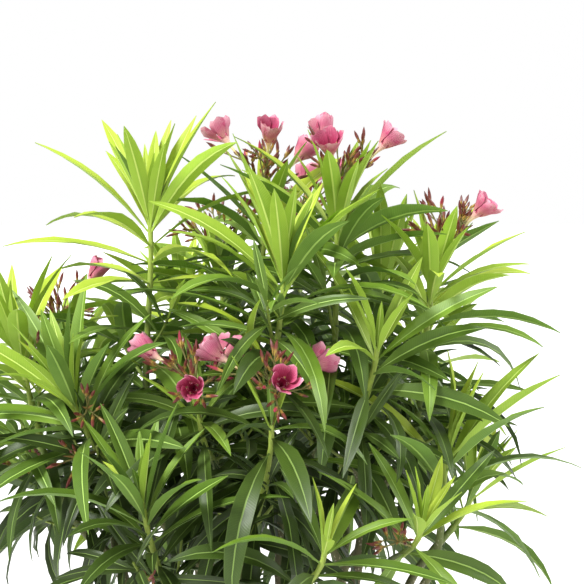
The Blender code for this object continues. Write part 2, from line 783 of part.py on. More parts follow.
def place_wood(name, path, leafy, shoot, space, seed):
    """The woody part of a foliage mass: its stem and its flower spray. Returns the stem's line as well."""
    points, shares = path.cut(path.length - leafy, path.length, SHOOT_RINGS)
    radii = [mix(ENTRY_RADIUS, TIP_RADIUS, share) for share in shares]
    stem = tube("foliage_" + name, points, radii, TWIG_SIDES)
    space.add_object(name, stem)
    line = Path(points)
    pieces = []
    if shoot.get("flowers") or shoot.get("buds"):
        tip, axis = line.at(line.length)
        for piece in spray_of(name, tip, axis, shoot, seed):
            points, faces = points_and_faces(piece)
            if space.is_free(points, faces, skip=name):
                space.add(name, points, faces)
                pieces.append(piece)
            else:
                bpy.data.objects.remove(piece)
    return line, stem, pieces


def build_plant(collection):
    bark = material("bark", (0.20, 0.19, 0.10), 0.75)
    leaf_green = material("leaf", (0.10, 0.22, 0.04), 0.45)
    space = Space()
    grown = []
    for stem_name, stem in STEMS.items():
        starts = build_stem(stem_name, stem, bark, collection, space)
        for (start, leaving), (name, shoot) in zip(starts, stem["shoots"].items()):
            path = bough_path(start, leaving, shoot)
            leafy = build_bough(name, path, shoot.get("leafy", LEAFY_MOST), bark, collection, space)
            grown.append((name, shoot, path, leafy))
    wood = {}
    for seed, (name, shoot, path, leafy) in enumerate(grown):
        wood[name] = place_wood(name, path, leafy, shoot, space, seed)
    leaf_count = 0
    for seed, (name, shoot, _, _) in enumerate(grown):
        line, stem, pieces = wood[name]
        for leaf in leaves_of(line, shoot, 100 + seed):
            kept = settled(leaf, space, name)
            if kept is None:
                continue
            points, faces = lofted(leaf_sections(kept))
            space.add(name, points, faces)
            pieces.append(object_from(f"{name}_leaf_{len(pieces)}", points, faces))
            leaf_count += 1
        show(fused("foliage_" + name, stem, pieces, "MANIFOLD"), leaf_green, collection)
    print("leaves:", leaf_count)


def main():
    for obj in list(bpy.data.objects):
        bpy.data.objects.remove(obj)
    collection = bpy.data.collections.new("potted_oleander")
    bpy.context.scene.collection.children.link(collection)
    build_pot(collection)
    build_soil(collection)
    build_plant(collection)
    for profile in [o for o in bpy.data.objects if o.name.startswith("ring_")]:
        bpy.data.objects.remove(profile)


main()
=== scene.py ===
import math
import random

import bmesh
import bpy
import numpy as np
from mathutils import Matrix, Vector, kdtree, noise
from mathutils.bvhtree import BVHTree


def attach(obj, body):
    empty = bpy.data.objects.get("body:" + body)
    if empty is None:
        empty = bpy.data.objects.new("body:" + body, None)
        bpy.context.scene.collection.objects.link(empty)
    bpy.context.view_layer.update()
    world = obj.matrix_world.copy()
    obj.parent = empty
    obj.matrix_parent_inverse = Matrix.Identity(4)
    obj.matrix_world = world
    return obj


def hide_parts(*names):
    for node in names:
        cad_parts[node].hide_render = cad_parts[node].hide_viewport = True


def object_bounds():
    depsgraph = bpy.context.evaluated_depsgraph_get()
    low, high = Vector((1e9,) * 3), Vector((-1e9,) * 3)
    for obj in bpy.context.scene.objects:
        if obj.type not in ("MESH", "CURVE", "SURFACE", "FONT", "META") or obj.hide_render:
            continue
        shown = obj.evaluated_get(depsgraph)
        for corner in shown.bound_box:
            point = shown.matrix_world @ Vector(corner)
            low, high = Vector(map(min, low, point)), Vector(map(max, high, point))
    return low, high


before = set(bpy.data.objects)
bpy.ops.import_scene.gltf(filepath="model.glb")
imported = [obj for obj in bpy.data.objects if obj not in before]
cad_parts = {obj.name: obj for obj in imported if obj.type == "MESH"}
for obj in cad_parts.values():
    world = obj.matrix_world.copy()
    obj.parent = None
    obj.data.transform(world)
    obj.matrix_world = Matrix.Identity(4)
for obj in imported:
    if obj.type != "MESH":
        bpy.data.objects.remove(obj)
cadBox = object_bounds()
scene = bpy.context.scene
noise.seed_set(12)  # noise vectors follow the clock unless a seed is set
print("frame loaded:", len(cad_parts), "nodes")


def placedObject(name, data):
    made = bpy.data.objects.new(name, data)
    scene.collection.objects.link(made)
    return made


# camera, floor and light

studio = {
    "lens": 140, "target": (0.018, 0.0, 0.788), "distance": 2.4, "elevation": 2.5, "skySeen": 1.0,
    "skyLight": 0.50, "sunDistance": 3, "sunTarget": (0, 0, 0.3), "sensor": 36, "farthest": 200,
    "floorRadius": 60.0, "floorSides": 96, "floorColour": (0.86, 0.86, 0.85, 1),
    "floorRoughness": 0.9,
}
# the side each sun shines from, its strength and its width in degrees
suns = {
    "keyLight": ((-0.62, -0.55, 0.95), 5.1, 22),
    "rimLight": ((0.85, 0.25, 0.60), 2.4, 30),
    "fillLight": ((0.28, -1.0, 0.10), 0.4, 50),
}


def aimedAt(place, target):
    return (Vector(target) - Vector(place)).to_track_quat("-Z", "Y").to_euler()


def sunFrom(name, direction, strength, width):
    data = bpy.data.lights.new(name, "SUN")
    data.energy = strength
    data.angle = math.radians(width)
    lamp = placedObject(name, data)
    lamp.location = Vector(direction) * studio["sunDistance"]
    lamp.rotation_euler = aimedAt(lamp.location, studio["sunTarget"])


def makeStudio():
    raised = math.radians(studio["elevation"])
    back = Vector((0, -math.cos(raised), math.sin(raised)))
    lensData = bpy.data.cameras.new("camera")
    lensData.lens = studio["lens"]
    lensData.sensor_width = studio["sensor"]
    lensData.clip_end = studio["farthest"]
    camera = placedObject("camera", lensData)
    camera.location = Vector(studio["target"]) + back * studio["distance"]
    camera.rotation_euler = aimedAt(camera.location, studio["target"])
    scene.camera = camera
    scene.view_settings.view_transform = "Standard"
    sky = bpy.data.worlds.new("sky")
    sky.use_nodes = True
    tree = sky.node_tree
    seen = tree.nodes.new("ShaderNodeMapRange")
    seen.inputs["To Min"].default_value = studio["skyLight"]
    seen.inputs["To Max"].default_value = studio["skySeen"]
    tree.links.new(tree.nodes.new("ShaderNodeLightPath").outputs["Is Camera Ray"], seen.inputs["Value"])
    tree.links.new(seen.outputs["Result"], tree.nodes["Background"].inputs["Strength"])
    tree.nodes["Background"].inputs["Color"].default_value = (1, 1, 1, 1)
    scene.world = sky
    for name, sun in suns.items():
        sunFrom(name, *sun)
    form = bmesh.new()
    bmesh.ops.create_circle(form, cap_ends=True, segments=studio["floorSides"], radius=studio["floorRadius"])
    mesh = bpy.data.meshes.new("floor")
    form.to_mesh(mesh)
    form.free()
    floor = placedObject("floor", mesh)
    pale = bpy.data.materials.new("paleFloor")
    pale.use_nodes = True
    shader = pale.node_tree.nodes["Principled BSDF"]
    shader.inputs["Base Color"].default_value = studio["floorColour"]
    shader.inputs["Roughness"].default_value = studio["floorRoughness"]
    mesh.materials.append(pale)


makeStudio()
print("studio ready")

# The plant: each stem has its foot on the soil, its fork and three shoots. A shoot has its tip, the size
# and spread of its leaves, the turn of its first whorl, its lean, how many whorls older than a fresh one
# it is, how crowded and how long its leafy part is, its flowers and buds, and how their branches turn,
# lean and reach. The scene alone adds how many top whorls are fresh in colour, how far back side twigs
# start and how many grow on the bough, and the extra leaves at the tip and between the whorls.

plantStems = {
    "left": {"foot": (-0.050, -0.012), "fork": (-0.165, -0.020, 0.505), "shoots": {
        "left_far": {
            "tip": (-0.268, -0.050, 0.738), "size": 0.95, "turn": 20, "crowd": 0.8, "extra": 2, "fresh": 3,
        },
        "left_front": {"tip": (-0.203, -0.125, 0.690), "size": 1.02, "turn": 70, "extra": 2, "fresh": 0.5},
        "left_low": {
            "tip": (-0.255, 0.050, 0.590), "size": 0.88, "turn": 0, "leafy": 0.085, "fresh": -1, "twigs": 1,
        },
    }},
    "inner_left": {"foot": (-0.022, 0.020), "fork": (-0.078, 0.010, 0.550), "shoots": {
        "tall_left": {
            "tip": (-0.131, -0.030, 0.872), "size": 1.02, "turn": 35, "lean": 0.8, "spread": 0.9,
            "crowd": 0.65, "extra": 2, "between": 2, "fresh": 7, "twigsFrom": 0.13,
        },
        "bloom_left": {
            "tip": (-0.074, -0.150, 0.670), "size": 0.95, "turn": 10, "age": 2.0, "spread": 1.15,
            "flowers": 3, "buds": 6, "bloom": (250, 70, 0.8), "fresh": -2,
        },
        "behind_left": {
            "tip": (-0.060, 0.115, 0.800), "size": 0.95, "turn": 50, "age": 1, "buds": 5,
            "extra": 2, "between": 7,
        },
    }},
    "front": {"foot": (-0.010, -0.046), "fork": (-0.050, -0.120, 0.425), "shoots": {
        "front_left": {
            "tip": (-0.129, -0.190, 0.595), "size": 0.92, "turn": 25, "spread": 0.85, "extra": 2,
            "fresh": -0.5,
        },
        "bloom_front": {
            "tip": (-0.002, -0.170, 0.665), "size": 1.08, "turn": 80, "age": 2.5, "spread": 1.25,
            "flowers": 3, "buds": 6, "bloom": (255, 72, 0.9), "fresh": -2.5,
        },
        "front_low": {"tip": (0.050, -0.200, 0.545), "size": 1.0, "turn": 0, "age": 1.5, "fresh": -1},
    }},
    "centre": {"foot": (0.006, -0.004), "fork": (0.006, -0.018, 0.570), "shoots": {
        "centre_front": {
            "tip": (0.010, -0.105, 0.820), "size": 1.05, "turn": 15, "lean": 0.2, "crowd": 0.85,
            "extra": 2, "fresh": 2.5,
        },
        "centre_bloom": {
            "tip": (0.066, -0.030, 0.862), "size": 1.08, "turn": 45, "age": 0.4,
            "flowers": 3, "buds": 6, "bloom": (95, 42, 1.0), "extra": 2, "between": 6, "fresh": 1.1,
        },
        "centre_left_bloom": {
            "tip": (-0.012, 0.035, 0.864), "size": 1.0, "turn": 75, "age": 0.5, "lean": 0.4,
            "flowers": 3, "buds": 6, "bloom": (238, 42, 1.1), "fresh": 0.8,
        },
    }},
    "right": {"foot": (0.036, 0.014), "fork": (0.098, 0.004, 0.565), "shoots": {
        "right_high": {
            "tip": (0.168, -0.025, 0.804), "size": 0.98, "turn": 5, "age": 0.5, "lean": 1.6,
            "flowers": 1, "buds": 6, "bloom": (80, 26, 0.6), "extra": 2, "fresh": 2.5, "twigsFrom": 0.13,
        },
        "right_mid": {
            "tip": (0.118, 0.090, 0.800), "size": 0.98, "turn": 40, "extra": 2, "between": 5,
            "fresh": 2, "twigsFrom": 0.13,
        },
        "right_pendant": {"tip": (0.104, -0.120, 0.738), "size": 1.0, "turn": 35, "age": 0.8, "fresh": 0.6},
    }},
    "right_low": {"foot": (0.040, -0.026), "fork": (0.130, -0.030, 0.455), "shoots": {
        "right_front": {
            "tip": (0.178, -0.085, 0.632), "size": 1.02, "turn": 30, "spread": 0.9, "crowd": 0.8,
            "leafy": 0.085, "fresh": 2.5, "twigs": 0,
        },
        "right_side": {
            "tip": (0.216, 0.050, 0.575), "size": 0.84, "turn": 0, "leafy": 0.07, "fresh": 2, "twigs": 0,
        },
        "right_inner": {
            "tip": (0.148, -0.140, 0.560), "size": 0.86, "turn": 50, "age": 0.5, "leafy": 0.08, "fresh": 1,
            "twigs": 0,
        },
    }},
    "back_left": {"foot": (-0.024, 0.056), "fork": (-0.085, 0.130, 0.470), "shoots": {
        "back_left_high": {
            "tip": (-0.105, 0.185, 0.765), "size": 0.98, "turn": 10, "extra": 2, "between": 6, "fresh": 3,
        },
        "back_left_far": {
            "tip": (-0.232, 0.130, 0.712), "size": 0.98, "turn": 55, "age": 1, "flowers": 1, "buds": 4,
        },
        "back_left_low": {"tip": (-0.135, 0.262, 0.605), "size": 0.98, "turn": 35, "fresh": 3},
    }},
    "back_right": {"foot": (0.026, 0.052), "fork": (0.075, 0.135, 0.470), "shoots": {
        "back_right_high": {
            "tip": (0.026, 0.185, 0.826), "size": 1.0, "turn": 25, "age": 1.5, "flowers": 2, "buds": 5,
            "extra": 2, "between": 7, "fresh": 2,
        },
        "back_right_far": {
            "tip": (0.160, 0.165, 0.715), "size": 0.92, "turn": 5, "leafy": 0.16, "fresh": 3, "twigs": 0,
        },
        "back_right_low": {"tip": (0.085, 0.268, 0.612), "size": 0.98, "turn": 65, "fresh": 2},
    }},
}

limbs = {
    "soilTop": 0.223, "clear": 0.0003, "straightEnd": 0.003, "curveSteps": 40, "stemPull": 0.4,
    "footRadius": 0.0085, "forkRadius": 0.0060, "flareRadius": 0.0125, "flareHeight": 0.030,
    "forkAngle": 36, "forkStub": 0.026, "stubSink": 0.004, "boughRadius": 0.0045,
    "entryRadius": 0.0040, "tipRadius": 0.0024, "leafyMost": 0.205, "leafyShare": 0.74,
    "shootRings": 5, "voxel": 0.0013, "stemStep": 0.008, "boughStep": 0.007, "shootStep": 0.006,
    "skinStep": 0.005, "stubStart": 0.010, "forkUpward": 0.35, "forkOnward": 0.65, "shootLean": 1.1,
    "boughSwell": 0.0004,
}

upward = Vector((0, 0, 1))
downward = Vector((0, 0, -1))


class Line:
    # a smooth line through space that is read at any distance along it

    def __init__(self, points):
        self.points = points
        self.reach = [0.0]
        for before, after in zip(points, points[1:]):
            self.reach.append(self.reach[-1] + (after - before).length)
        self.length = self.reach[-1]

    def at(self, distance):
        distance = min(max(distance, 0.0), self.length)
        step = 1
        while step < len(self.reach) - 1 and self.reach[step] < distance:
            step += 1
        share = (distance - self.reach[step - 1]) / (self.reach[step] - self.reach[step - 1])
        before, after = self.points[step - 1], self.points[step]
        return before.lerp(after, share), (after - before).normalized()

    def cut(self, start, end, rings):
        inner = [start + (end - start) * i / (rings - 1) for i in range(1, rings - 1)]
        marks = [start, start + limbs["straightEnd"], *inner, end - limbs["straightEnd"], end]
        return [self.at(mark)[0] for mark in marks]

    def run(self, start, end, step):
        count = max(2, round((end - start) / step))
        return [self.at(start + (end - start) * i / count)[0] for i in range(count + 1)]


def curveBetween(start, leaving, end, arriving, pull=1.0):
    points = [start]
    start = start + leaving * limbs["straightEnd"]
    chord = (end - start).length
    for i in range(limbs["curveSteps"] + 1):
        t = i / limbs["curveSteps"]
        points.append(
            start * (2 * t**3 - 3 * t**2 + 1)
            + leaving * pull * chord * (t**3 - 2 * t**2 + t)
            + end * (3 * t**2 - 2 * t**3)
            + arriving * chord * (t**3 - t**2)
        )
    return Line(points)


def mixed(start, end, share):
    return start + (end - start) * share


def squareTo(direction, towards=Vector((0, -1, 0))):
    return (towards - direction * towards.dot(direction)).normalized()


def tilted(direction, side, angle):
    return (direction * math.cos(angle) + side * math.sin(angle)).normalized()


def sideways(axis, angle):
    # a direction square to an axis, at an angle round it from the front
    return Matrix.Rotation(angle, 3, axis) @ squareTo(axis)


def awayFrom(axis, turn, lean):
    # a direction that leans from an axis, towards a turn round it
    return tilted(axis, sideways(axis, turn), lean)


def sharesOf(count):
    return [i / (count - 1) for i in range(count)]


def roughly(draw, degrees):
    return draw.uniform(-degrees, degrees)


def evenlyRound(axis, targets, origin):
    # three sideways directions 120 degrees apart, turned to suit where the shoots go
    first = squareTo(axis)
    other = axis.cross(first)
    angles = []
    for target in targets:
        away = squareTo(axis, target - origin)
        angles.append(math.atan2(away.dot(other), away.dot(first)))
    order = sorted(range(3), key=lambda i: angles[i])
    wanted = [angles[i] - math.tau * k / 3 for k, i in enumerate(order)]
    phase = math.atan2(sum(map(math.sin, wanted)), sum(map(math.cos, wanted)))
    sides = [None] * 3
    for k, i in enumerate(order):
        turn = phase + math.tau * k / 3
        sides[i] = first * math.cos(turn) + other * math.sin(turn)
    return sides


def growLimbs():
    # each stem's line, and each shoot's line from the fork to its growing tip
    grown = {}
    for stemName, stem in plantStems.items():
        foot = Vector((*stem["foot"], limbs["soilTop"] + limbs["clear"]))
        fork = Vector(stem["fork"])
        lean = (fork - foot).normalized()
        arriving = (upward * limbs["forkUpward"] + lean * limbs["forkOnward"]).normalized()
        line = curveBetween(foot, upward, fork, arriving, limbs["stemPull"])
        axis = line.at(line.length)[1]
        tips = [Vector(shoot["tip"]) for shoot in stem["shoots"].values()]
        sides = evenlyRound(axis, tips, fork)
        shoots = {}
        for side, (name, shoot) in zip(sides, stem["shoots"].items()):
            leaving = tilted(axis, side, math.radians(limbs["forkAngle"]))
            start = fork + leaving * (limbs["forkStub"] + limbs["clear"])
            tip = Vector(shoot["tip"])
            outward = Vector((tip.x, tip.y, 0))
            ending = (upward + outward * shoot.get("lean", limbs["shootLean"])).normalized()
            path = curveBetween(start, leaving, tip, ending)
            leafy = min(path.length * limbs["leafyShare"], shoot.get("leafy", limbs["leafyMost"]))
            shoots[name] = {"path": path, "leafy": leafy, "leaving": leaving, "shoot": shoot}
        grown[stemName] = {"line": line, "fork": fork, "shoots": shoots}
    return grown


def shootsOf(grown):
    return [shoot for stem in grown.values() for shoot in stem["shoots"].items()]


grownStems = growLimbs()
print("limbs laid out")


# meshes out of points and faces, and the frame's calls for each finished piece


def lofted(sections):
    # faces through sections of equal count: a single point closes to a tip, and an open end is capped
    points, rows = [], []
    for section in sections:
        rows.append(list(range(len(points), len(points) + len(section))))
        points.extend(section)
    faces = []
    for low, high in zip(rows, rows[1:]):
        count = max(len(low), len(high))
        for i in range(count):
            j = (i + 1) % count
            if len(low) == 1:
                faces.append((low[0], high[j], high[i]))
            elif len(high) == 1:
                faces.append((low[i], low[j], high[0]))
            else:
                faces.append((low[i], low[j], high[j], high[i]))
    if len(rows[0]) > 1:
        faces.append(tuple(rows[0][::-1]))
    if len(rows[-1]) > 1:
        faces.append(tuple(rows[-1]))
    return points, faces


def ringAt(centre, along, side, radius, count, turn=0.0):
    other = along.cross(side)
    ring = []
    for i in range(count):
        angle = turn + math.tau * i / count
        ring.append(centre + (side * math.cos(angle) + other * math.sin(angle)) * radius)
    return ring


def sweptSections(points, radii, sides):
    # rings along a line, with the side carried along so that the rings don't turn on their own
    sections = []
    side = squareTo((points[1] - points[0]).normalized(), Vector((0.3, -0.9, 0.2)))
    for i, point in enumerate(points):
        before, after = points[max(i - 1, 0)], points[min(i + 1, len(points) - 1)]
        along = (after - before).normalized()
        side = squareTo(along, side)
        if radii[i] == 0:
            sections.append([point])
        else:
            sections.append(ringAt(point, along, side, radii[i], sides))
    return sections


class Joined:
    # many small forms gathered into one mesh, each face with its finish and each point with its place

    def __init__(self, name, finishes):
        self.name, self.finishes = name, finishes
        self.points, self.faces, self.marks, self.places, self.ages = [], [], [], [], []

    def add(self, points, faces, marks, places, age=1.0):
        base = len(self.points)
        self.points.extend(points)
        self.faces.extend(tuple(base + i for i in face) for face in faces)
        self.marks.extend([marks] * len(faces) if isinstance(marks, int) else marks)
        self.places.extend(places)
        self.ages.extend([age] * len(points) if isinstance(age, float) else age)

    def addSwept(self, points, radii, sides, mark, age=1.0):
        sections = sweptSections(points, radii, sides)
        made, faces = lofted(sections)
        places, reach = [], 0.0
        for i, section in enumerate(sections):
            reach += (points[i] - points[i - 1]).length if i else 0.0
            places.extend((k / max(len(section), 1), reach) for k in range(len(section)))
        self.add(made, faces, mark, places, age)

    def build(self, sharpAngle):
        mesh = bpy.data.meshes.new(self.name)
        mesh.from_pydata([tuple(p) for p in self.points], [], self.faces)
        for finish in self.finishes:
            mesh.materials.append(finish)
        mesh.polygons.foreach_set("material_index", np.array(self.marks, dtype=np.int32))
        corners = np.empty(len(mesh.loops), dtype=np.int32)
        mesh.loops.foreach_get("vertex_index", corners)
        layer = mesh.uv_layers.new(name="place")
        layer.data.foreach_set("uv", np.array(self.places, dtype=np.float32)[corners].ravel())
        age = mesh.attributes.new("age", "FLOAT", "POINT")
        age.data.foreach_set("value", np.array(self.ages, dtype=np.float32))
        mesh.shade_smooth()
        mesh.set_sharp_from_angle(angle=math.radians(sharpAngle))
        mesh.update()
        return placedObject(self.name, mesh)


# faces that meet at more than this keep their edge, in degrees
sharpAngles = {"leaves": 24, "twigs": 60, "blossom": 35, "chips": 25, "pot": 34, "soil": 60, "drains": 40}


def formObject(name, form, finishes, sharpAngle):
    mesh = bpy.data.meshes.new(name)
    form.to_mesh(mesh)
    form.free()
    for finish in finishes:
        mesh.materials.append(finish)
    mesh.shade_smooth()
    mesh.set_sharp_from_angle(angle=math.radians(sharpAngle))
    return placedObject(name, mesh)


def applied(made):
    # the object's mesh with its modifiers worked in
    bpy.context.view_layer.update()
    graph = bpy.context.evaluated_depsgraph_get()
    mesh = bpy.data.meshes.new_from_object(made.evaluated_get(graph))
    made.modifiers.clear()
    old = made.data
    made.data = mesh
    bpy.data.meshes.remove(old)


def standsFor(made, slotName, *nodes):
    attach(made, "root")
    if nodes:
        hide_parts(*nodes)
    print("built", made.name, len(made.data.polygons), "faces")


# materials: small helpers first, then what the leaves and the bark are made of


def linked(tree, value, socket):
    if isinstance(value, bpy.types.NodeSocket):
        tree.links.new(value, socket)
    elif isinstance(value, tuple) and len(value) == 3 and socket.type == "RGBA":
        socket.default_value = (*value, 1)
    elif value is not None:
        socket.default_value = value


def calc(tree, operation, first, second=None, third=None, clamp=False):
    node = tree.nodes.new("ShaderNodeMath")
    node.operation = operation
    node.use_clamp = clamp
    for place, value in enumerate((first, second, third)):
        linked(tree, value, node.inputs[place])
    return node.outputs[0]


def times(tree, first, second):
    return calc(tree, "MULTIPLY", first, second)


def plus(tree, first, second, clamp=False):
    return calc(tree, "ADD", first, second, clamp=clamp)


def scaled(tree, value, factor, offset, clamp=False):
    return calc(tree, "MULTIPLY_ADD", value, factor, offset, clamp)


def waved(tree, turns):
    # a cosine of so many turns, from 0 to 1
    return scaled(tree, calc(tree, "COSINE", times(tree, turns, math.tau)), 0.5, 0.5)


def blended(tree, share, first, second, kind="MIX"):
    node = tree.nodes.new("ShaderNodeMix")
    node.data_type = "RGBA"
    node.blend_type = kind
    linked(tree, share, node.inputs[0])
    linked(tree, first, node.inputs[6])
    linked(tree, second, node.inputs[7])
    return node.outputs[2]


def noisy(tree, vector, scale, detail=3.0, rough=0.5):
    node = tree.nodes.new("ShaderNodeTexNoise")
    node.inputs["Scale"].default_value = scale
    node.inputs["Detail"].default_value = detail
    node.inputs["Roughness"].default_value = rough
    linked(tree, vector, node.inputs["Vector"])
    return node.outputs["Fac"]


def stretched(tree, vector, scale):
    node = tree.nodes.new("ShaderNodeMapping")
    node.inputs["Scale"].default_value = scale
    linked(tree, vector, node.inputs["Vector"])
    return node.outputs["Vector"]


def ranged(tree, value, low, high, newLow=0.0, newHigh=1.0):
    node = tree.nodes.new("ShaderNodeMapRange")
    linked(tree, value, node.inputs[0])
    for place, number in enumerate((low, high, newLow, newHigh)):
        node.inputs[place + 1].default_value = number
    return node.outputs[0]


def ramped(tree, value, stops):
    node = tree.nodes.new("ShaderNodeValToRGB")
    elements = node.color_ramp.elements
    while len(elements) < len(stops):
        elements.new(0.5)
    for element, (place, colour) in zip(elements, stops):
        element.position = place
        element.color = (*colour, 1)
    linked(tree, value, node.inputs[0])
    return node.outputs[0]


def newGroup(name, inputs, outputs):
    tree = bpy.data.node_groups.new(name, "ShaderNodeTree")
    for socketName, kind, value in inputs:
        socket = tree.interface.new_socket(name=socketName, in_out="INPUT", socket_type="NodeSocket" + kind)
        socket.default_value = value
    for socketName, kind in outputs:
        tree.interface.new_socket(name=socketName, in_out="OUTPUT", socket_type="NodeSocket" + kind)
    return tree, tree.nodes.new("NodeGroupInput").outputs, tree.nodes.new("NodeGroupOutput").inputs


def newMaterial(name, roughness=0.5, specular=0.5):
    made = bpy.data.materials.new(name)
    made.use_nodes = True
    shader = made.node_tree.nodes["Principled BSDF"]
    shader.inputs["Roughness"].default_value = roughness
    shader.inputs["Specular IOR Level"].default_value = specular
    return made, made.node_tree, shader


def finished(tree, shader, colour, roughness, height, strength, distance):
    # what a finish's colour, roughness and relief feed
    node = tree.nodes.new("ShaderNodeBump")
    node.inputs["Strength"].default_value = strength
    node.inputs["Distance"].default_value = distance
    linked(tree, height, node.inputs["Height"])
    linked(tree, node.outputs[0], shader.inputs["Normal"])
    linked(tree, colour, shader.inputs["Base Color"])
    linked(tree, roughness, shader.inputs["Roughness"])


def placed(tree, group, **values):
    node = tree.nodes.new("ShaderNodeGroup")
    node.node_tree = group
    for name, value in values.items():
        linked(tree, value, node.inputs[name])
    return node.outputs


def coordinates(tree, kind="Object"):
    return tree.nodes.new("ShaderNodeTexCoord").outputs[kind]


def partsOf(tree, vector):
    node = tree.nodes.new("ShaderNodeSeparateXYZ")
    linked(tree, vector, node.inputs[0])
    return node.outputs


bladeLook = {
    "veins": 58.0, "veinSlant": 2.6, "veinWander": 1.1, "veinSharp": 5.0,
    "mottle": (26, 3, 0.55), "mottleShade": (1.4, -0.45), "midribCreasePaintedShade": (0.10, 0.42, 0.40, 0.0),
    "footPale": (0.02, 0.50, 0.55, 0.0), "streak": (230, 2), "streakShow": 0.14,
    "margin": (0.90, 0.985, 0.0, 0.55), "roughRange": 0.22, "veinRelief": 0.5, "mottleRelief": 0.9,
}


# leaf detail: side veins from the midrib, a pale margin, soft mottling, and painted shade in the crease
# beside the midrib
def makeBladeDetail():
    black = (0, 0, 0, 1)
    tree, given, out = newGroup(
        "bladeDetail",
        [("base", "Color", black), ("deep", "Color", black), ("vein", "Color", black),
         ("veinShow", "Float", 0.3), ("gloss", "Float", 0.35)],
        [("colour", "Color"), ("rough", "Float"), ("height", "Float")],
    )
    across, along, _ = partsOf(tree, coordinates(tree, "UV"))
    outwards = calc(tree, "ABSOLUTE", scaled(tree, across, 2.0, -1.0))
    spot = coordinates(tree)
    wander = noisy(tree, spot, 90, 2)
    phase = calc(tree, "SUBTRACT", times(tree, along, bladeLook["veins"]),
                 times(tree, outwards, bladeLook["veinSlant"]))
    wave = waved(tree, plus(tree, phase, times(tree, wander, bladeLook["veinWander"])))
    veins = times(tree, calc(tree, "POWER", wave, bladeLook["veinSharp"]), given["veinShow"])
    mottle = noisy(tree, spot, *bladeLook["mottle"])
    streak = noisy(tree, spot, *bladeLook["streak"])
    shade = scaled(tree, mottle, *bladeLook["mottleShade"], clamp=True)
    # painted shade: the blade turns towards its deeper colour beside the midrib, where the fold makes a
    # crease
    shade = plus(tree, shade, ranged(tree, outwards, *bladeLook["midribCreasePaintedShade"]), clamp=True)
    body = blended(tree, shade, given["base"], given["deep"])
    foot = ranged(tree, along, *bladeLook["footPale"])
    margin = ranged(tree, outwards, *bladeLook["margin"])
    for share in (foot, times(tree, streak, bladeLook["streakShow"]), veins, margin):
        body = blended(tree, share, body, given["vein"])
    linked(tree, body, out["colour"])
    linked(tree, scaled(tree, mottle, bladeLook["roughRange"], given["gloss"]), out["rough"])
    linked(tree, plus(tree, times(tree, wave, bladeLook["veinRelief"]),
                      times(tree, mottle, bladeLook["mottleRelief"])), out["height"])
    return tree


bladeDetail = makeBladeDetail()

# tints from a fresh tip down to the old leaves: base, deeper patches and vein in linear colours, and gloss
leafTints = {
    "lime": ((0.415, 0.545, 0.036), (0.270, 0.405, 0.018), (0.540, 0.640, 0.110), 0.44),
    "bright": ((0.262, 0.398, 0.028), (0.158, 0.283, 0.015), (0.390, 0.500, 0.080), 0.41),
    "fresh": ((0.138, 0.246, 0.018), (0.080, 0.163, 0.010), (0.235, 0.350, 0.052), 0.37),
    "mid": ((0.072, 0.139, 0.011), (0.041, 0.089, 0.006), (0.140, 0.222, 0.034), 0.33),
    "deep": ((0.039, 0.075, 0.007), (0.022, 0.046, 0.004), (0.083, 0.136, 0.024), 0.30),
    "dark": ((0.022, 0.041, 0.005), (0.012, 0.024, 0.003), (0.052, 0.084, 0.018), 0.28),
}
underTints = {
    "paleLime": ((0.300, 0.470, 0.034), (0.190, 0.340, 0.022), (0.430, 0.580, 0.100), 0.46),
    "paleGreen": ((0.125, 0.240, 0.030), (0.078, 0.162, 0.020), (0.220, 0.335, 0.070), 0.46),
    "greyGreen": ((0.060, 0.112, 0.024), (0.038, 0.074, 0.017), (0.112, 0.176, 0.052), 0.46),
}
ribTints = {
    "ribLime": ((0.620, 0.760, 0.190), (0.520, 0.670, 0.140), (0.680, 0.790, 0.260), 0.42),
    "ribGreen": ((0.370, 0.540, 0.120), (0.280, 0.440, 0.090), (0.430, 0.590, 0.170), 0.42),
    "ribDull": ((0.185, 0.280, 0.062), (0.130, 0.210, 0.044), (0.240, 0.340, 0.092), 0.42),
}
# each kind of face: its tints, what its finishes' names start with, how its side veins show, and relief
leafKinds = {
    "top": (leafTints, "leaf_", 0.14, 0.22),
    "under": (underTints, "under_", 0.26, 0.30),
    "rib": (ribTints, "", 0.0, 0.20),
}


def leafMaterial(name, tint, veinShow, relief):
    base, deep, vein, gloss = tint
    made, tree, shader = newMaterial(name, gloss, 0.34)
    detail = placed(tree, bladeDetail, base=base, deep=deep, vein=vein, veinShow=veinShow, gloss=gloss)
    finished(tree, shader, detail["colour"], detail["rough"], detail["height"], relief, 0.0006)
    return made


leafFinishes = [leafMaterial(start + name, tint, veinShow, relief)
                for tints, start, veinShow, relief in leafKinds.values() for name, tint in tints.items()]


barkLook = {
    "colours": [(0.0, (0.105, 0.082, 0.058)), (0.35, (0.145, 0.125, 0.072)), (0.62, (0.150, 0.170, 0.062)),
                (0.82, (0.215, 0.310, 0.060)), (1.0, (0.400, 0.520, 0.085))],
    "shadow": (0.045, 0.038, 0.022), "shadowShow": 0.55,
    "pore": (0.42, 0.38, 0.26), "poreEdge": (0.16, 0.30, 1.0, 0.0), "poreShow": (0.55, 0.95, 0.7, 0.12),
    "grainScale": (420, 420, 60), "poreScale": (330, 330, 190),
}


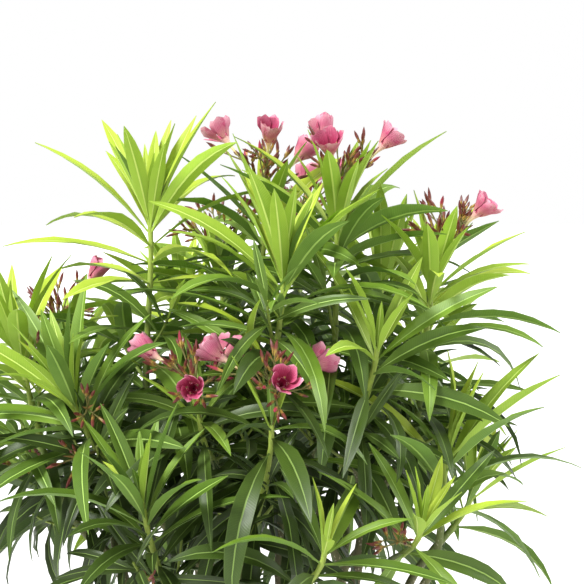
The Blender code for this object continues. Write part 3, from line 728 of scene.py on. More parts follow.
# bark that is green when young and grey-brown when old, by the age attribute, with pale breathing pores
def makeBark():
    made, tree, shader = newMaterial("barkFinish", 0.75, 0.35)
    spot = coordinates(tree)
    years = tree.nodes.new("ShaderNodeAttribute")
    years.attribute_name = "age"
    age = years.outputs["Fac"]
    blotch = noisy(tree, spot, 55, 4, 0.6)
    grain = noisy(tree, stretched(tree, spot, barkLook["grainScale"]), 1.0, 3, 0.6)
    colour = ramped(tree, plus(tree, age, scaled(tree, blotch, 0.30, -0.15)), barkLook["colours"])
    shadow = times(tree, grain, barkLook["shadowShow"])
    colour = blended(tree, shadow, colour, barkLook["shadow"], "MULTIPLY")
    pores = tree.nodes.new("ShaderNodeTexVoronoi")
    pores.inputs["Scale"].default_value = 1.0
    linked(tree, stretched(tree, spot, barkLook["poreScale"]), pores.inputs["Vector"])
    dots = ranged(tree, pores.outputs["Distance"], *barkLook["poreEdge"])
    dots = times(tree, dots, ranged(tree, age, *barkLook["poreShow"]))
    colour = blended(tree, dots, colour, barkLook["pore"])
    height = plus(tree, times(tree, grain, 0.8), times(tree, dots, 0.7))
    finished(tree, shader, colour, ranged(tree, age, 0.3, 1.0, 0.85, 0.5), height, 0.6, 0.0008)
    return made


barkFinish = makeBark()
print("leaf and bark finishes made")


# what is already grown, so that leaves keep out of one another


class Room:
    def __init__(self, most):
        self.low, self.high = np.empty((most, 3)), np.empty((most, 3))
        self.owners, self.trees = [], []

    def add(self, owner, points, faces):
        i = len(self.owners)
        array = np.array([tuple(p) for p in points])
        self.low[i], self.high[i] = array.min(0), array.max(0)
        self.owners.append(owner)
        self.trees.append(BVHTree.FromPolygons(points, faces))

    def isFree(self, points, faces, skip=(), only=None):
        count = len(self.owners)
        array = np.array([tuple(p) for p in points])
        near = np.all(self.low[:count] <= array.max(0), axis=1)
        near &= np.all(self.high[:count] >= array.min(0), axis=1)
        tree = None
        for i in np.nonzero(near)[0]:
            if self.owners[i] in skip or (only is not None and self.owners[i] != only):
                continue
            tree = tree or BVHTree.FromPolygons(points, faces)
            if tree.overlap(self.trees[i]):
                return False
        return True


# leaves: where each one stands on its shoot, how it bends, and its blade

leafRule = {
    "length": 0.158, "width": 0.0240, "keel": 0.0019,
    "topLength": 0.5, "topWidth": 0.62,
    "petioleWidth": 0.0019, "petioleKeel": 0.0012, "petioleOut": 0.0006,
    "firstNode": 0.005, "lastNode": 0.012, "nodeGap": 0.009, "nodeGrowth": 0.0060, "nodeMost": 0.031,
    "pitchTop": 20, "pitchRange": 68, "droopTop": 8, "droopRange": 76, "ageing": 3.0, "ageingPower": 1.6,
    "steps": 12, "droopPower": 1.35, "hanging": math.cos(math.radians(8)),
    "twistSpread": 22, "twistAtFoot": 0.35, "steepest": 112,
    "whorlTurn": 60, "turnVary": 14, "pitchVary": 9, "droopVary": (0.35, 1.3),
    "longVary": (0.9, 1.08), "wideVary": (0.82, 1.12),
    "lengthStart": 0.6, "lengthWhorls": 2.2, "widthStart": 0.5, "widthWhorls": 2.0,
    "coarse": ((0.0, 0.0), (0.33, 0.95), (0.68, 0.84), (1.0, 0.0)),
    "coarseTop": ((0.0, 0.0), (0.42, 1.0), (1.0, 0.0)),
    "room": 0.0007, "lowest": 0.275,
}
# a leaf's tint, from 0 when fresh to 5 when darkest, and its fold and waves
toneRule = {
    "perWhorl": 0.85, "start": 1.7, "vary": (-0.9, 0.9),
    # the darkest tint allowed deepens below a height: painted shade low in the crown
    "lightest": 3.0, "darkest": 5.9, "darkAt": 5.5, "paintedShadeHeight": 0.60, "paintedShadePerMetre": 11,
    "darkVary": (-0.7, 0.5),
    "fold": (0.50, 0.22), "foldVary": (0.6, 1.3), "wave": (0.5, 1), "waveVary": (0.2, 1.3),
}
# what is added to a shoot's number to seed each kind of draw, and the seeds of the rest
seeds = {
    "leaves": 100, "young": 500, "twigs": 900, "tones": 5000, "youngDraws": 9000, "between": 47,
    "sprays": 300, "fadedHeads": 71, "chips": 77,
}
# what a leaf that is in the way tries: turn, lift and more sag, in degrees
leafTries = (
    (0, 0, 0), (14, 0, 0), (-14, 0, 0), (0, 12, 10), (26, 6, 0), (-26, 6, 0), (12, -10, 14), (-12, -10, 14),
    (0, -22, 5), (20, 18, 30), (-20, 18, 30),
)
extraTries = ((40, 0, 0), (-40, 0, 0), (60, 4, 0), (-60, 4, 0), (0, 8, 0), (80, 0, 0), (-80, 0, 0))


def leafLine(leaf):
    across = leaf["axis"].cross(leaf["outward"]).normalized()
    sag = leaf["start"].cross(downward).normalized()
    hinge = (across + sag * max(across.dot(sag), 0.0)).normalized()
    points, widths = [leaf["node"] + leaf["outward"] * leafRule["petioleOut"]], [across]
    heading, acrossHere, steps = leaf["start"], across, leafRule["steps"]
    for i in range(steps):
        turn = Matrix.Rotation(leaf["droop"] * ((i + 0.5) / steps) ** leafRule["droopPower"], 3, hinge)
        turned = turn @ leaf["start"]
        if turned.dot(downward) < leafRule["hanging"]:
            heading = turned
            acrossHere = turn @ across
        points.append(points[-1] + heading * (leaf["length"] / steps))
        widths.append(acrossHere)
    return Line(points), widths


def leafFrame(leaf, line, widths, share):
    # the point, the way along, the blade's side and its upper face at a share of the leaf
    place, along = line.at(share * line.length)
    side = squareTo(along, widths[round(share * leafRule["steps"])])
    twist = leaf["twist"] * mixed(leafRule["twistAtFoot"], 1, share)
    side = Matrix.Rotation(twist, 3, along) @ side
    return place, along, side, along.cross(side)


def leafForm(leaf, room=0.0, first=0, shares=None):
    # the plain solid that stands for a leaf while room is found for it
    line, widths = leafLine(leaf)
    sections = []
    shares = shares or (leafRule["coarseTop"] if leaf["rank"] < 2 else leafRule["coarse"])
    for share, wide in shares[first:]:
        place, along, side, face = leafFrame(leaf, line, widths, share)
        half = max(leaf["width"] * wide, leafRule["petioleWidth"]) / 2 + room
        keel = (leafRule["keel"] if share else leafRule["petioleKeel"]) + room
        if share == 1.0:
            sections.append([place + along * room])
        else:
            sections.append([place + side * half + face * room, place - side * half + face * room,
                             place - face * keel])
    return lofted(sections)


def nodesOf(length, shoot):
    # how far back from the tip each whorl of a shoot stands
    crowd = shoot.get("crowd", 1.0)
    nodes, distance, gap = [], leafRule["firstNode"], leafRule["nodeGap"] * crowd
    while distance < length - leafRule["lastNode"]:
        nodes.append(distance)
        distance += gap
        gap = min(gap + leafRule["nodeGrowth"] * crowd, leafRule["nodeMost"])
    return nodes


def leavesOf(smooth, coarse, shoot, seed):
    # every leaf of a shoot from the tip down, before any is skipped
    draw, tone = random.Random(seed), random.Random(seed + seeds["tones"])
    size, spread = shoot.get("size", 1.0), shoot.get("spread", 1.0)
    leaves = []
    for rank, back in enumerate(nodesOf(coarse.length, shoot)):
        node = smooth.at(smooth.length - back)[0]
        axis = coarse.at(coarse.length - back)[1]
        years = (rank + shoot.get("age", 0)) / leafRule["ageing"]
        age = 1 - math.exp(-(years ** leafRule["ageingPower"]))
        fullLength = min(1.0, (rank + leafRule["lengthStart"]) / leafRule["lengthWhorls"])
        fullWidth = min(1.0, (rank + leafRule["widthStart"]) / leafRule["widthWhorls"])
        # old leaves turn dark with age, and the darkest tint allowed deepens lower in the crown: painted
        # shade under the upper leaves
        dark = toneRule["darkAt"] - (node.z - toneRule["paintedShadeHeight"]) * toneRule["paintedShadePerMetre"]
        dark = min(toneRule["darkest"], max(toneRule["lightest"], dark))
        for i in range(3):
            turn = shoot["turn"] + leafRule["whorlTurn"] * rank + 120 * i
            turn += roughly(draw, leafRule["turnVary"])
            pitch = leafRule["pitchTop"] + leafRule["pitchRange"] * age * spread
            pitch += roughly(draw, leafRule["pitchVary"])
            droop = leafRule["droopTop"] + leafRule["droopRange"] * age * spread
            droop *= draw.uniform(*leafRule["droopVary"])
            long = leafRule["length"] * size * mixed(leafRule["topLength"], 1, fullLength)
            long *= draw.uniform(*leafRule["longVary"])
            wide = leafRule["width"] * size * mixed(leafRule["topWidth"], 1, fullWidth)
            wide *= draw.uniform(*leafRule["wideVary"])
            twist = math.radians(draw.gauss(0, leafRule["twistSpread"]))
            darkest = dark + tone.uniform(*toneRule["darkVary"])
            tint = (rank - shoot.get("fresh", 1)) * toneRule["perWhorl"] + toneRule["start"]
            tint = min(tint + tone.uniform(*toneRule["vary"]), darkest)
            leaves.append({
                "node": node, "axis": axis, "outward": sideways(axis, math.radians(turn)),
                "pitch": math.radians(min(pitch, leafRule["steepest"])), "droop": math.radians(droop),
                "rank": rank, "length": long, "width": wide, "twist": twist,
                "tint": int(min(max(tint, 0), 5)),
                "fold": mixed(*toneRule["fold"], age) * tone.uniform(*toneRule["foldVary"]),
                "wave": tone.uniform(*toneRule["waveVary"]) * mixed(*toneRule["wave"], age),
                "phase": tone.uniform(0, 6.28),
            })
    return leaves


# leaves the source leaves out: small upright ones round a growing tip, and a few between its whorls
extraRule = {
    "young": 6, "youngLess": 3, "youngBack": 0.0015, "youngTurn": 137.5, "youngTurnVary": 20,
    "youngLong": (0.040, 0.088), "youngWide": (0.0070, 0.0115), "youngPitch": (5, 26), "youngDroop": (0, 14),
    "youngLongVary": (0.85, 1.1), "youngTwist": 8, "youngTints": (0, 1, 1, 2), "youngFold": (0.4, 0.7),
    "youngWave": (0.1, 0.5), "between": 4, "betweenSize": (0.72, 0.95), "betweenTurn": 30,
}


def youngLeaves(smooth, coarse, shoot, seed):
    draw = random.Random(seed + seeds["youngDraws"])
    leaves = []
    many = shoot.get("extra", 1) > 1
    count = extraRule["young"] if many else extraRule["youngLess"]
    for i in range(count):
        back = extraRule["youngBack"] * (i + 1)
        axis = coarse.at(coarse.length - back)[1]
        share = (i + 1) / count
        turn = extraRule["youngTurn"] * i + roughly(draw, extraRule["youngTurnVary"])
        leaves.append({
            "node": smooth.at(smooth.length - back)[0], "axis": axis,
            "outward": sideways(axis, math.radians(turn)),
            "pitch": math.radians(mixed(*extraRule["youngPitch"], share)),
            "droop": math.radians(draw.uniform(*extraRule["youngDroop"])), "rank": 0,
            "length": mixed(*extraRule["youngLong"], share) * draw.uniform(*extraRule["youngLongVary"]),
            "width": mixed(*extraRule["youngWide"], share),
            "twist": math.radians(draw.gauss(0, extraRule["youngTwist"])),
            "tint": draw.choice(extraRule["youngTints"]), "fold": draw.uniform(*extraRule["youngFold"]),
            "wave": draw.uniform(*extraRule["youngWave"]), "phase": draw.uniform(0, 6.28),
        })
    if not many:
        return leaves
    nodes = nodesOf(coarse.length, shoot)
    source = leavesOf(smooth, coarse, shoot, seed + seeds["between"])
    turned = math.radians(extraRule["betweenTurn"])
    for rank in range(min(shoot.get("between", extraRule["between"]), len(nodes) - 1)):
        back = (nodes[rank] + nodes[rank + 1]) / 2
        axis = coarse.at(coarse.length - back)[1]
        for leaf in source[3 * rank:3 * rank + 3]:
            smaller = draw.uniform(*extraRule["betweenSize"])
            leaf["node"], leaf["axis"] = smooth.at(smooth.length - back)[0], axis
            leaf["length"] *= smaller
            leaf["width"] *= smaller
            leaf["outward"] = Matrix.Rotation(turned, 3, axis) @ leaf["outward"]
            leaves.append(leaf)
    return leaves


def settled(leaf, room, owner, tries, insideBox=False, close=False):
    for turn, lift, sag in tries:
        tried = dict(leaf)
        tried["outward"] = Matrix.Rotation(math.radians(turn), 3, leaf["axis"]) @ leaf["outward"]
        tried["start"] = tilted(leaf["axis"], tried["outward"], leaf["pitch"] - math.radians(lift))
        tried["droop"] = leaf["droop"] + math.radians(sag)
        forms = [leafForm(tried, extra) for extra in ((0.0,) if close else (0.0, leafRule["room"]))]
        points = forms[0][0]
        if min(p.z for p in points) < leafRule["lowest"]:
            continue
        if insideBox and not all(inCadBox(p) for p in points):
            continue
        if not all(room.isFree(points, faces, skip=(owner,)) for points, faces in forms):
            continue
        if room.isFree(*leafForm(tried, 0.0 if close else leafRule["room"], first=1), only=owner):
            return tried
    return None


def inCadBox(point, inset=0.004):
    low, high = cadBox
    return all(low[k] + inset < point[k] < high[k] - inset for k in range(3))


# the blade: how wide it is along its length, and its section from margin to margin and back underneath
blade = {
    "rows": (0.0, 0.04, 0.12, 0.24, 0.38, 0.52, 0.66, 0.80, 0.92, 1.0),
    "wide": (0.0, 0.0, 0.38, 0.78, 0.97, 1.0, 0.93, 0.69, 0.34, 0.0), "slim": 0.86,
    "stalkHalf": 0.0011, "tipHalf": 0.0002,
    "across": (-1.0, -0.52, -0.072, 0.072, 0.52, 1.0, 0.098, -0.098),
    "kinds": ("top", "top", "rib", "top", "top", "under", "rib", "under"), "thick": 0.0005,
    "arch": 0.0007, "keelFoot": 0.0013, "keelTip": 0.0003, "ripple": 0.0011, "ripples": 15,
    "otherMargin": -0.7, "placeLength": 0.16,
}


def addLeaf(joined, leaf):
    line, widths = leafLine(leaf)
    count = len(blade["across"])
    points, places = [], []
    for share, wide in zip(blade["rows"], blade["wide"]):
        place, along, side, face = leafFrame(leaf, line, widths, share)
        least = mixed(blade["stalkHalf"], blade["tipHalf"], share)
        half = max(leaf["width"] * blade["slim"] / 2 * wide, least)
        spread = max(0.0, half - least) / (leaf["width"] * blade["slim"] / 2)
        keel = mixed(blade["keelFoot"], blade["keelTip"], share)
        ripple = math.sin(leaf["phase"] + share * blade["ripples"]) * blade["ripple"] * leaf["wave"] * spread
        for i, across in enumerate(blade["across"]):
            waves = ripple * (1 if across > 0 else blade["otherMargin"])
            rise = abs(across) * (leaf["fold"] * half * spread + waves)
            if i in (1, 4):
                rise += blade["arch"] * spread
            if i > 5:
                rise = -blade["thick"] - keel
            points.append(place + side * (across * half) + face * rise)
            places.append((0.5 + across / 2, share * leaf["length"] / blade["placeLength"]))
    faces, marks = [], []
    tint = leaf["tint"]
    finish = {"top": tint, "under": 6 + tint // 2, "rib": 9 + tint // 2}
    for row in range(len(blade["rows"]) - 1):
        for i in range(count):
            j = (i + 1) % count
            low, high = row * count, (row + 1) * count
            faces.append((low + j, low + i, high + i, high + j))
            marks.append(finish[blade["kinds"][i]])
    last = (len(blade["rows"]) - 1) * count
    faces.append(tuple(range(count)))
    faces.append(tuple(range(last + count - 1, last - 1, -1)))
    marks += [finish["rib"], finish["rib"]]
    joined.add(points, faces, marks, places)


# flower sprays: the same stalk and three branches as the source grows, then finer stalks and buds

sprayRule = {
    "peduncle": 0.036, "peduncleRadii": (0.0022, 0.0019), "sink": 0.005,
    "branch": 0.042, "gap": 0.005, "angle": 40, "branchRadii": (0.0012, 0.0012), "firstRoot": 0.002,
    "rootOut": 0.0004, "firstBud": 0.5,
    "turnVary": 20, "angleVary": 14, "reachVary": (0.75, 1.1),
    "budLength": 0.023, "budGap": 0.008, "budSpiral": 137, "budVary": (0.8, 1.15), "budAngle": (28, 42),
    "budWide": 0.0029, "budWidest": 0.45,
    "tube": 0.015, "depth": 0.028, "flowerRadii": (0.0012, 0.0024, 0.0165),
}


def layOutSpray(tip, axis, shoot, seed):
    # branches, flowers and buds with their roots and directions
    draw = random.Random(seed)
    top = tip + axis * sprayRule["peduncle"]
    flowers, buds = shoot.get("flowers", 0), shoot.get("buds", 0)
    bloomTurn, bloomAngle, bloomReach = shoot.get("bloom", (shoot["turn"] + 30, sprayRule["angle"], 1.0))
    branches = []
    for i in range(3):
        turn = bloomTurn + 120 * i + roughly(draw, sprayRule["turnVary"])
        out = sideways(axis, math.radians(turn))
        leaving = tilted(axis, out, math.radians(bloomAngle + roughly(draw, sprayRule["angleVary"])))
        root = top - axis * (sprayRule["firstRoot"] + sprayRule["gap"] * i) + out * sprayRule["rootOut"]
        reach = sprayRule["branch"] * bloomReach * draw.uniform(*sprayRule["reachVary"])
        branch = {"root": root, "along": leaving, "reach": reach, "flower": i < flowers, "buds": []}
        for k in range(buds // 3 + (1 if i < buds % 3 else 0)):
            swing = math.radians(sprayRule["budSpiral"] * k + draw.uniform(0, 60))
            heading = awayFrom(leaving, swing, math.radians(draw.uniform(*sprayRule["budAngle"])))
            seat = root + leaving * (reach * sprayRule["firstBud"] + sprayRule["budGap"] * k)
            length = sprayRule["budLength"] * draw.uniform(*sprayRule["budVary"])
            branch["buds"].append((seat, heading, length))
        branches.append(branch)
    return {"tip": tip, "axis": axis, "top": top, "branches": branches, "seed": seed}


def budForm(root, heading, length, radius):
    # the plain solid that stands for a bud
    line = [root, root + heading * length * sprayRule["budWidest"], root + heading * length]
    return lofted(sweptSections(line, [0, radius, 0], 3))


def sprayForms(spray):
    # plain solids that keep the leaves of other shoots out of the spray
    tip, axis, top = spray["tip"], spray["axis"], spray["top"]
    forms = [lofted(sweptSections([tip - axis * sprayRule["sink"], top], sprayRule["peduncleRadii"], 3))]
    for branch in spray["branches"]:
        root, along, reach = branch["root"], branch["along"], branch["reach"]
        if branch["flower"]:
            neck = root + along * (reach + sprayRule["tube"])
            rim = neck + along * sprayRule["depth"]
            forms.append(lofted(sweptSections([root, neck, rim], sprayRule["flowerRadii"], 5)))
        else:
            forms.append(lofted(sweptSections([root, root + along * reach], sprayRule["branchRadii"], 3)))
        forms += [budForm(*bud, sprayRule["budWide"]) for bud in branch["buds"]]
    return forms


# growing: sprays first, then the leaves of the main shoots, then side twigs with theirs

twigRule = {
    "backs": (0.062, 0.092, 0.120, 0.148, 0.176), "firstBack": 0.085, "lastBack": 0.005,
    "boughShares": (0.25, 0.50, 0.78), "boughLonger": 1.25, "boughOlder": 1.5, "spiral": 137,
    "spiralVary": 25, "attempts": 4, "attemptTurn": 75, "angle": 50, "angleVary": 8,
    "length": (0.045, 0.085), "onwards": 0.85, "upwards": 0.30, "pull": 0.8, "endOnward": 0.6,
    "endUpward": 0.7, "size": (0.60, 0.86), "age": (0.4, 2.4), "freshLess": 4.0, "freshVary": 1.2,
    "rootRadius": 0.0021, "tipRadius": 0.0013, "boxInset": 0.03,
}


def growLeaves(owner, entry, leaves, room, tries, **limits):
    for leaf in leaves:
        kept = settled(leaf, room, owner, tries, **limits)
        if kept:
            room.add(owner, *leafForm(kept))
            entry["leaves"].append(kept)


def growCrown(grown):
    room = Room(6000)
    for name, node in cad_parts.items():
        if name.startswith(("stem_", "bough_")):
            mesh = node.data
            points = [v.co.copy() for v in mesh.vertices]
            room.add("limbs", points, [tuple(p.vertices) for p in mesh.polygons])
    shoots = shootsOf(grown)
    for seed, (name, entry) in enumerate(shoots):
        path, leafy, shoot = entry["path"], entry["leafy"], entry["shoot"]
        coarse = Line(path.cut(path.length - leafy, path.length, limbs["shootRings"]))
        smooth = Line(path.run(path.length - leafy, path.length, limbs["shootStep"]))
        radii = [mixed(limbs["entryRadius"], limbs["tipRadius"], i / 6) for i in range(7)]
        room.add(name, *lofted(sweptSections(coarse.points, radii, 3)))
        entry.update(coarse=coarse, smooth=smooth, leaves=[], twigs=[], spray=None)
        if shoot.get("flowers") or shoot.get("buds"):
            entry["spray"] = layOutSpray(*coarse.at(coarse.length), shoot, seed)
            for points, faces in sprayForms(entry["spray"]):
                room.add(name, points, faces)
    for seed, (name, entry) in enumerate(shoots):
        leaves = leavesOf(entry["smooth"], entry["coarse"], entry["shoot"], seeds["leaves"] + seed)
        growLeaves(name, entry, leaves, room, leafTries)
    print("main leaves:", sum(len(entry["leaves"]) for _, entry in shoots))
    for seed, (name, entry) in enumerate(shoots):
        leaves = youngLeaves(entry["smooth"], entry["coarse"], entry["shoot"], seeds["young"] + seed)
        growLeaves(name, entry, leaves, room, leafTries + extraTries, insideBox=True, close=True)
    for seed, (name, entry) in enumerate(shoots):
        growTwigs(name, entry, room, seeds["twigs"] + seed)
    print("all leaves:", sum(len(entry["leaves"]) for _, entry in shoots),
          "twigs:", sum(len(entry["twigs"]) for _, entry in shoots))


def layOutTwig(start, axis, out, longer, room, draw):
    # a twig's points and radii where there is room for it: up to four turns round the shoot are tried
    for attempt in range(twigRule["attempts"]):
        swung = Matrix.Rotation(math.radians(twigRule["attemptTurn"] * attempt), 3, axis) @ out
        angle = twigRule["angle"] + roughly(draw, twigRule["angleVary"])
        leaving = tilted(axis, swung, math.radians(angle))
        reach = draw.uniform(*twigRule["length"]) * longer
        tip = start + leaving * reach * twigRule["onwards"] + upward * reach * twigRule["upwards"]
        arriving = (leaving * twigRule["endOnward"] + upward * twigRule["endUpward"]).normalized()
        line = curveBetween(start, leaving, tip, arriving, twigRule["pull"])
        points = line.run(0, line.length, limbs["stemStep"])
        radii = [mixed(twigRule["rootRadius"], twigRule["tipRadius"], share)
                 for share in sharesOf(len(points))]
        fitting = lofted(sweptSections(points[2:], radii[2:], 3))
        if inCadBox(tip, twigRule["boxInset"]) and room.isFree(*fitting):
            return points, radii, fitting
    return None


def growTwigs(name, entry, room, seed):
    draw = random.Random(seed)
    path, leafy, shoot = entry["path"], entry["leafy"], entry["shoot"]
    firstBack = shoot.get("twigsFrom", twigRule["firstBack"])
    starts = [(path.length - back, 1.0, 0.0) for back in twigRule["backs"]
              if firstBack < back < leafy - twigRule["lastBack"]]
    boughShares = twigRule["boughShares"][:shoot.get("twigs", 3)]
    starts += [((path.length - leafy) * share, twigRule["boughLonger"], twigRule["boughOlder"])
               for share in boughShares]
    for i, (distance, longer, older) in enumerate(starts):
        start, axis = path.at(distance)
        turn = twigRule["spiral"] * i + roughly(draw, twigRule["spiralVary"])
        twig = layOutTwig(start, axis, sideways(axis, math.radians(turn)), longer, room, draw)
        if not twig:
            continue
        points, radii, fitting = twig
        twigName = f"{name}_{i}"
        room.add(twigName, *fitting)
        entry["twigs"].append((points, radii))
        small = {"size": draw.uniform(*twigRule["size"]), "turn": draw.uniform(0, 120),
                 "age": draw.uniform(*twigRule["age"]) + older}
        small["fresh"] = min(shoot.get("fresh", 1) - twigRule["freshLess"], 0.0) - older
        small["fresh"] += roughly(draw, twigRule["freshVary"])
        twigLine = Line(points)
        leaves = leavesOf(twigLine, twigLine, small, seed * 10 + i)
        growLeaves(twigName, entry, leaves, room, leafTries[:6], insideBox=True)


growCrown(grownStems)


def roomOfLeaves(grown):
    # every leaf at its full run of widths, for the buds to keep clear of
    room = Room(3000)
    for _, entry in shootsOf(grown):
        for leaf in entry["leaves"]:
            room.add("leaf", *leafForm(leaf, shares=list(zip(blade["rows"], blade["wide"]))))
    return room


leafRoom = roomOfLeaves(grownStems)


def buildLeaves(grown):
    for stemName, stem in grown.items():
        joined = Joined("leaves_" + stemName, leafFinishes)
        for entry in stem["shoots"].values():
            for leaf in entry["leaves"]:
                addLeaf(joined, leaf)
        made = joined.build(sharpAngles["leaves"])
        standsFor(made, "leaf", *["foliage_" + name for name in stem["shoots"]])


buildLeaves(grownStems)


# limbs: stems and boughs as one skin with the bark's relief, and the leafy shoots' own stems


barkForm = {
    "smooth": 0.5, "smoothest": 0.75,
    "ridge": 0.00030, "ridgeScale": (420, 420, 45), "lump": 0.00042, "lumpScale": 70,
    "scar": 0.00045, "scarGap": 0.029, "scarScale": 12, "scarWander": 4, "scarSharp": 9,
}


def limbSkin(name, runs):
    # tubes run together, remeshed into one skin, then given swellings, ridges and scars
    data = bpy.data.curves.new(name, "CURVE")
    data.dimensions = "3D"
    data.bevel_depth = 1.0
    data.bevel_resolution = 3
    data.use_fill_caps = True
    marks = kdtree.KDTree(sum(len(points) for points, _, _ in runs))
    ages = []
    for points, radii, years in runs:
        spline = data.splines.new("POLY")
        spline.points.add(len(points) - 1)
        for point, place, radius in zip(spline.points, points, radii):
            point.co = (*place, 1)
            point.radius = radius
        for place, age in zip(points, years):
            marks.insert(place, len(ages))
            ages.append(age)
    marks.balance()
    made = placedObject(name, data)
    graph = bpy.context.evaluated_depsgraph_get()
    mesh = bpy.data.meshes.new_from_object(made.evaluated_get(graph))
    bpy.data.objects.remove(made)
    made = placedObject(name, mesh)
    skin = made.modifiers.new("skin", "REMESH")
    skin.mode = "VOXEL"
    skin.voxel_size = limbs["voxel"]
    applied(made)
    form = bmesh.new()
    form.from_mesh(made.data)
    axes = {"use_axis_x": True, "use_axis_y": True, "use_axis_z": True}
    for again in range(2):
        bmesh.ops.smooth_vert(form, verts=form.verts, factor=barkForm["smooth"], **axes)
    form.normal_update()
    layer = form.verts.layers.float.new("age")
    for vert in form.verts:
        nearest = marks.find(vert.co)[1]
        age = ages[nearest]
        vert[layer] = age
        rough = 1.0 - barkForm["smoothest"] * age
        ridge = noise.noise(Vector([vert.co[k] * barkForm["ridgeScale"][k] for k in range(3)]))
        lump = noise.noise(vert.co * barkForm["lumpScale"])
        wander = noise.noise(vert.co * barkForm["scarScale"]) * barkForm["scarWander"]
        scar = 0.5 + 0.5 * math.cos(vert.co.z * math.tau / barkForm["scarGap"] + wander)
        rise = barkForm["ridge"] * ridge * rough + barkForm["lump"] * lump
        vert.co += vert.normal * (rise + barkForm["scar"] * scar ** barkForm["scarSharp"])
    form.to_mesh(made.data)
    form.free()
    made.data.materials.clear()
    made.data.materials.append(barkFinish)
    made.data.shade_smooth()
    return made


# how green the bark is from foot to fork, along a bough and along its shoot, and how whorls swell a shoot
limbAges = {
    "stem": (0.05, 0.50), "bough": (0.48, 0.72), "shoot": (0.72, 1.0), "shootSooner": 1.4, "twig": 0.92,
}
whorlSwell = {"reach": 0.0035, "rise": 0.0006}


def buildLimbs(grown):
    for stemName, stem in grown.items():
        line, fork = stem["line"], stem["fork"]
        points = line.run(0, line.length, limbs["stemStep"])
        radii, years = [], []
        for share in sharesOf(len(points)):
            flare = max(0.0, 1 - share * line.length / limbs["flareHeight"]) ** 2
            radii.append(mixed(limbs["footRadius"], limbs["forkRadius"], share)
                         + (limbs["flareRadius"] - limbs["footRadius"]) * flare)
            years.append(mixed(*limbAges["stem"], share))
        runs = [(points, radii, years)]
        for entry in stem["shoots"].values():
            path, bare = entry["path"], entry["path"].length - entry["leafy"]
            leaving = entry["leaving"]
            points = [fork - leaving * limbs["stubSink"], fork + leaving * limbs["stubStart"]]
            points += path.run(0, bare, limbs["boughStep"])
            shares = sharesOf(len(points))
            thickest = limbs["boughRadius"] + limbs["boughSwell"]
            radii = [mixed(thickest, limbs["entryRadius"], share) for share in shares]
            runs.append((points, radii, [mixed(*limbAges["bough"], share) for share in shares]))
        made = limbSkin("limbs_" + stemName, runs)
        boughs = ["bough_" + name for name in stem["shoots"]]
        standsFor(made, "bark", "stem_" + stemName, *boughs)


def buildTwigs(grown):
    joined = Joined("twigs", [barkFinish])
    for _, entry in shootsOf(grown):
        path, leafy = entry["path"], entry["leafy"]
        start = path.length - leafy - limbs["shootStep"]
        points = path.run(start, path.length, limbs["skinStep"])
        nodes = [leafy - back for back in nodesOf(leafy, entry["shoot"])]
        radii, ages = [], []
        for share in sharesOf(len(points)):
            reach = share * leafy
            swell = max([math.exp(-((reach - node) / whorlSwell["reach"]) ** 2) for node in nodes])
            radius = mixed(limbs["entryRadius"], limbs["tipRadius"], share)
            radii.append(radius + whorlSwell["rise"] * swell)
            ages += [mixed(*limbAges["shoot"], min(1, share * limbAges["shootSooner"]))] * 8
        joined.addSwept(points, radii, 8, 0, ages)
        for points, radii in entry["twigs"]:
            joined.addSwept(points, radii, 6, 0, limbAges["twig"])
    standsFor(joined.build(sharpAngles["twigs"]), "bark")


buildLimbs(grownStems)
buildTwigs(grownStems)


# blossom: flowers, buds and their stalks

blossomForm = {
    "tube": ((0.0, 0.0010), (0.004, 0.0013), (0.010, 0.0015), (0.016, 0.0021), (0.0205, 0.0034),
             (0.0245, 0.0055)),
    "throat": ((0.0243, 0.0051), (0.0200, 0.0026), (0.0140, 0.0011), (0.0090, 0.0)),
    "tubeSides": 15, "openness": (0.40, 1.0),
    "fringeHeight": 0.0236, "fringeOut": 0.0046, "fringeGap": 0.0006, "fringeLong": (0.0030, 0.0046),
    "fringeWide": 0.0004, "sepalLong": 0.0062, "sepalWide": 0.0011, "sepalOut": 0.0007, "sepalLean": 0.20,
    "budSepalLong": 0.26, "budSepalWide": 0.0009, "budSepalOut": 0.45,
    "budRings": ((0.0, 0.34), (0.10, 0.62), (0.32, 0.84), (0.52, 1.0), (0.74, 0.80), (0.92, 0.30)),
    "toothRings": ((0.0, 0.6), (0.4, 1.0)), "budBend": 0.22, "budBends": 140,
    "budRadius": 0.0020, "pinkShare": 0.25, "pinkLong": 0.019, "fullBud": 0.024, "budTwist": (0.16, 0.22),
}
petalForm = {
    "rows": ((0.0236, 0.0053, 0.0033), (0.0280, 0.0076, 0.0060), (0.0325, 0.0108, 0.0096),
             (0.0370, 0.0146, 0.0118), (0.0405, 0.0176, 0.0112), (0.0430, 0.0188, 0.0064)),
    "across": (-1.0, -0.5, 0.0, 0.5, 1.0), "neck": 0.0053, "thick": 0.0004,
    "curl": 0.0022, "curlVary": (-0.6, 0.8), "liftVary": (-0.0012, 0.0014), "openVary": 0.14,
    "closedRise": 0.62, "swirl": 0.30, "cup": 0.0014, "tuck": 0.0015, "flute": 0.0010,
    "crumple": 0.0023, "crumples": 150,
}
blossomMarks = {
    "face": 0, "back": 1, "tube": 2, "calyx": 3, "bud": 4, "pinkBud": 5, "stalk": 6, "fringe": 7, "spent": 8,
}


petalLook = {
    "wander": (0.36, -0.18), "middle": 0.45, "stripes": 11.0, "stripeWander": 2.0, "stripeSharp": 2.0,
}


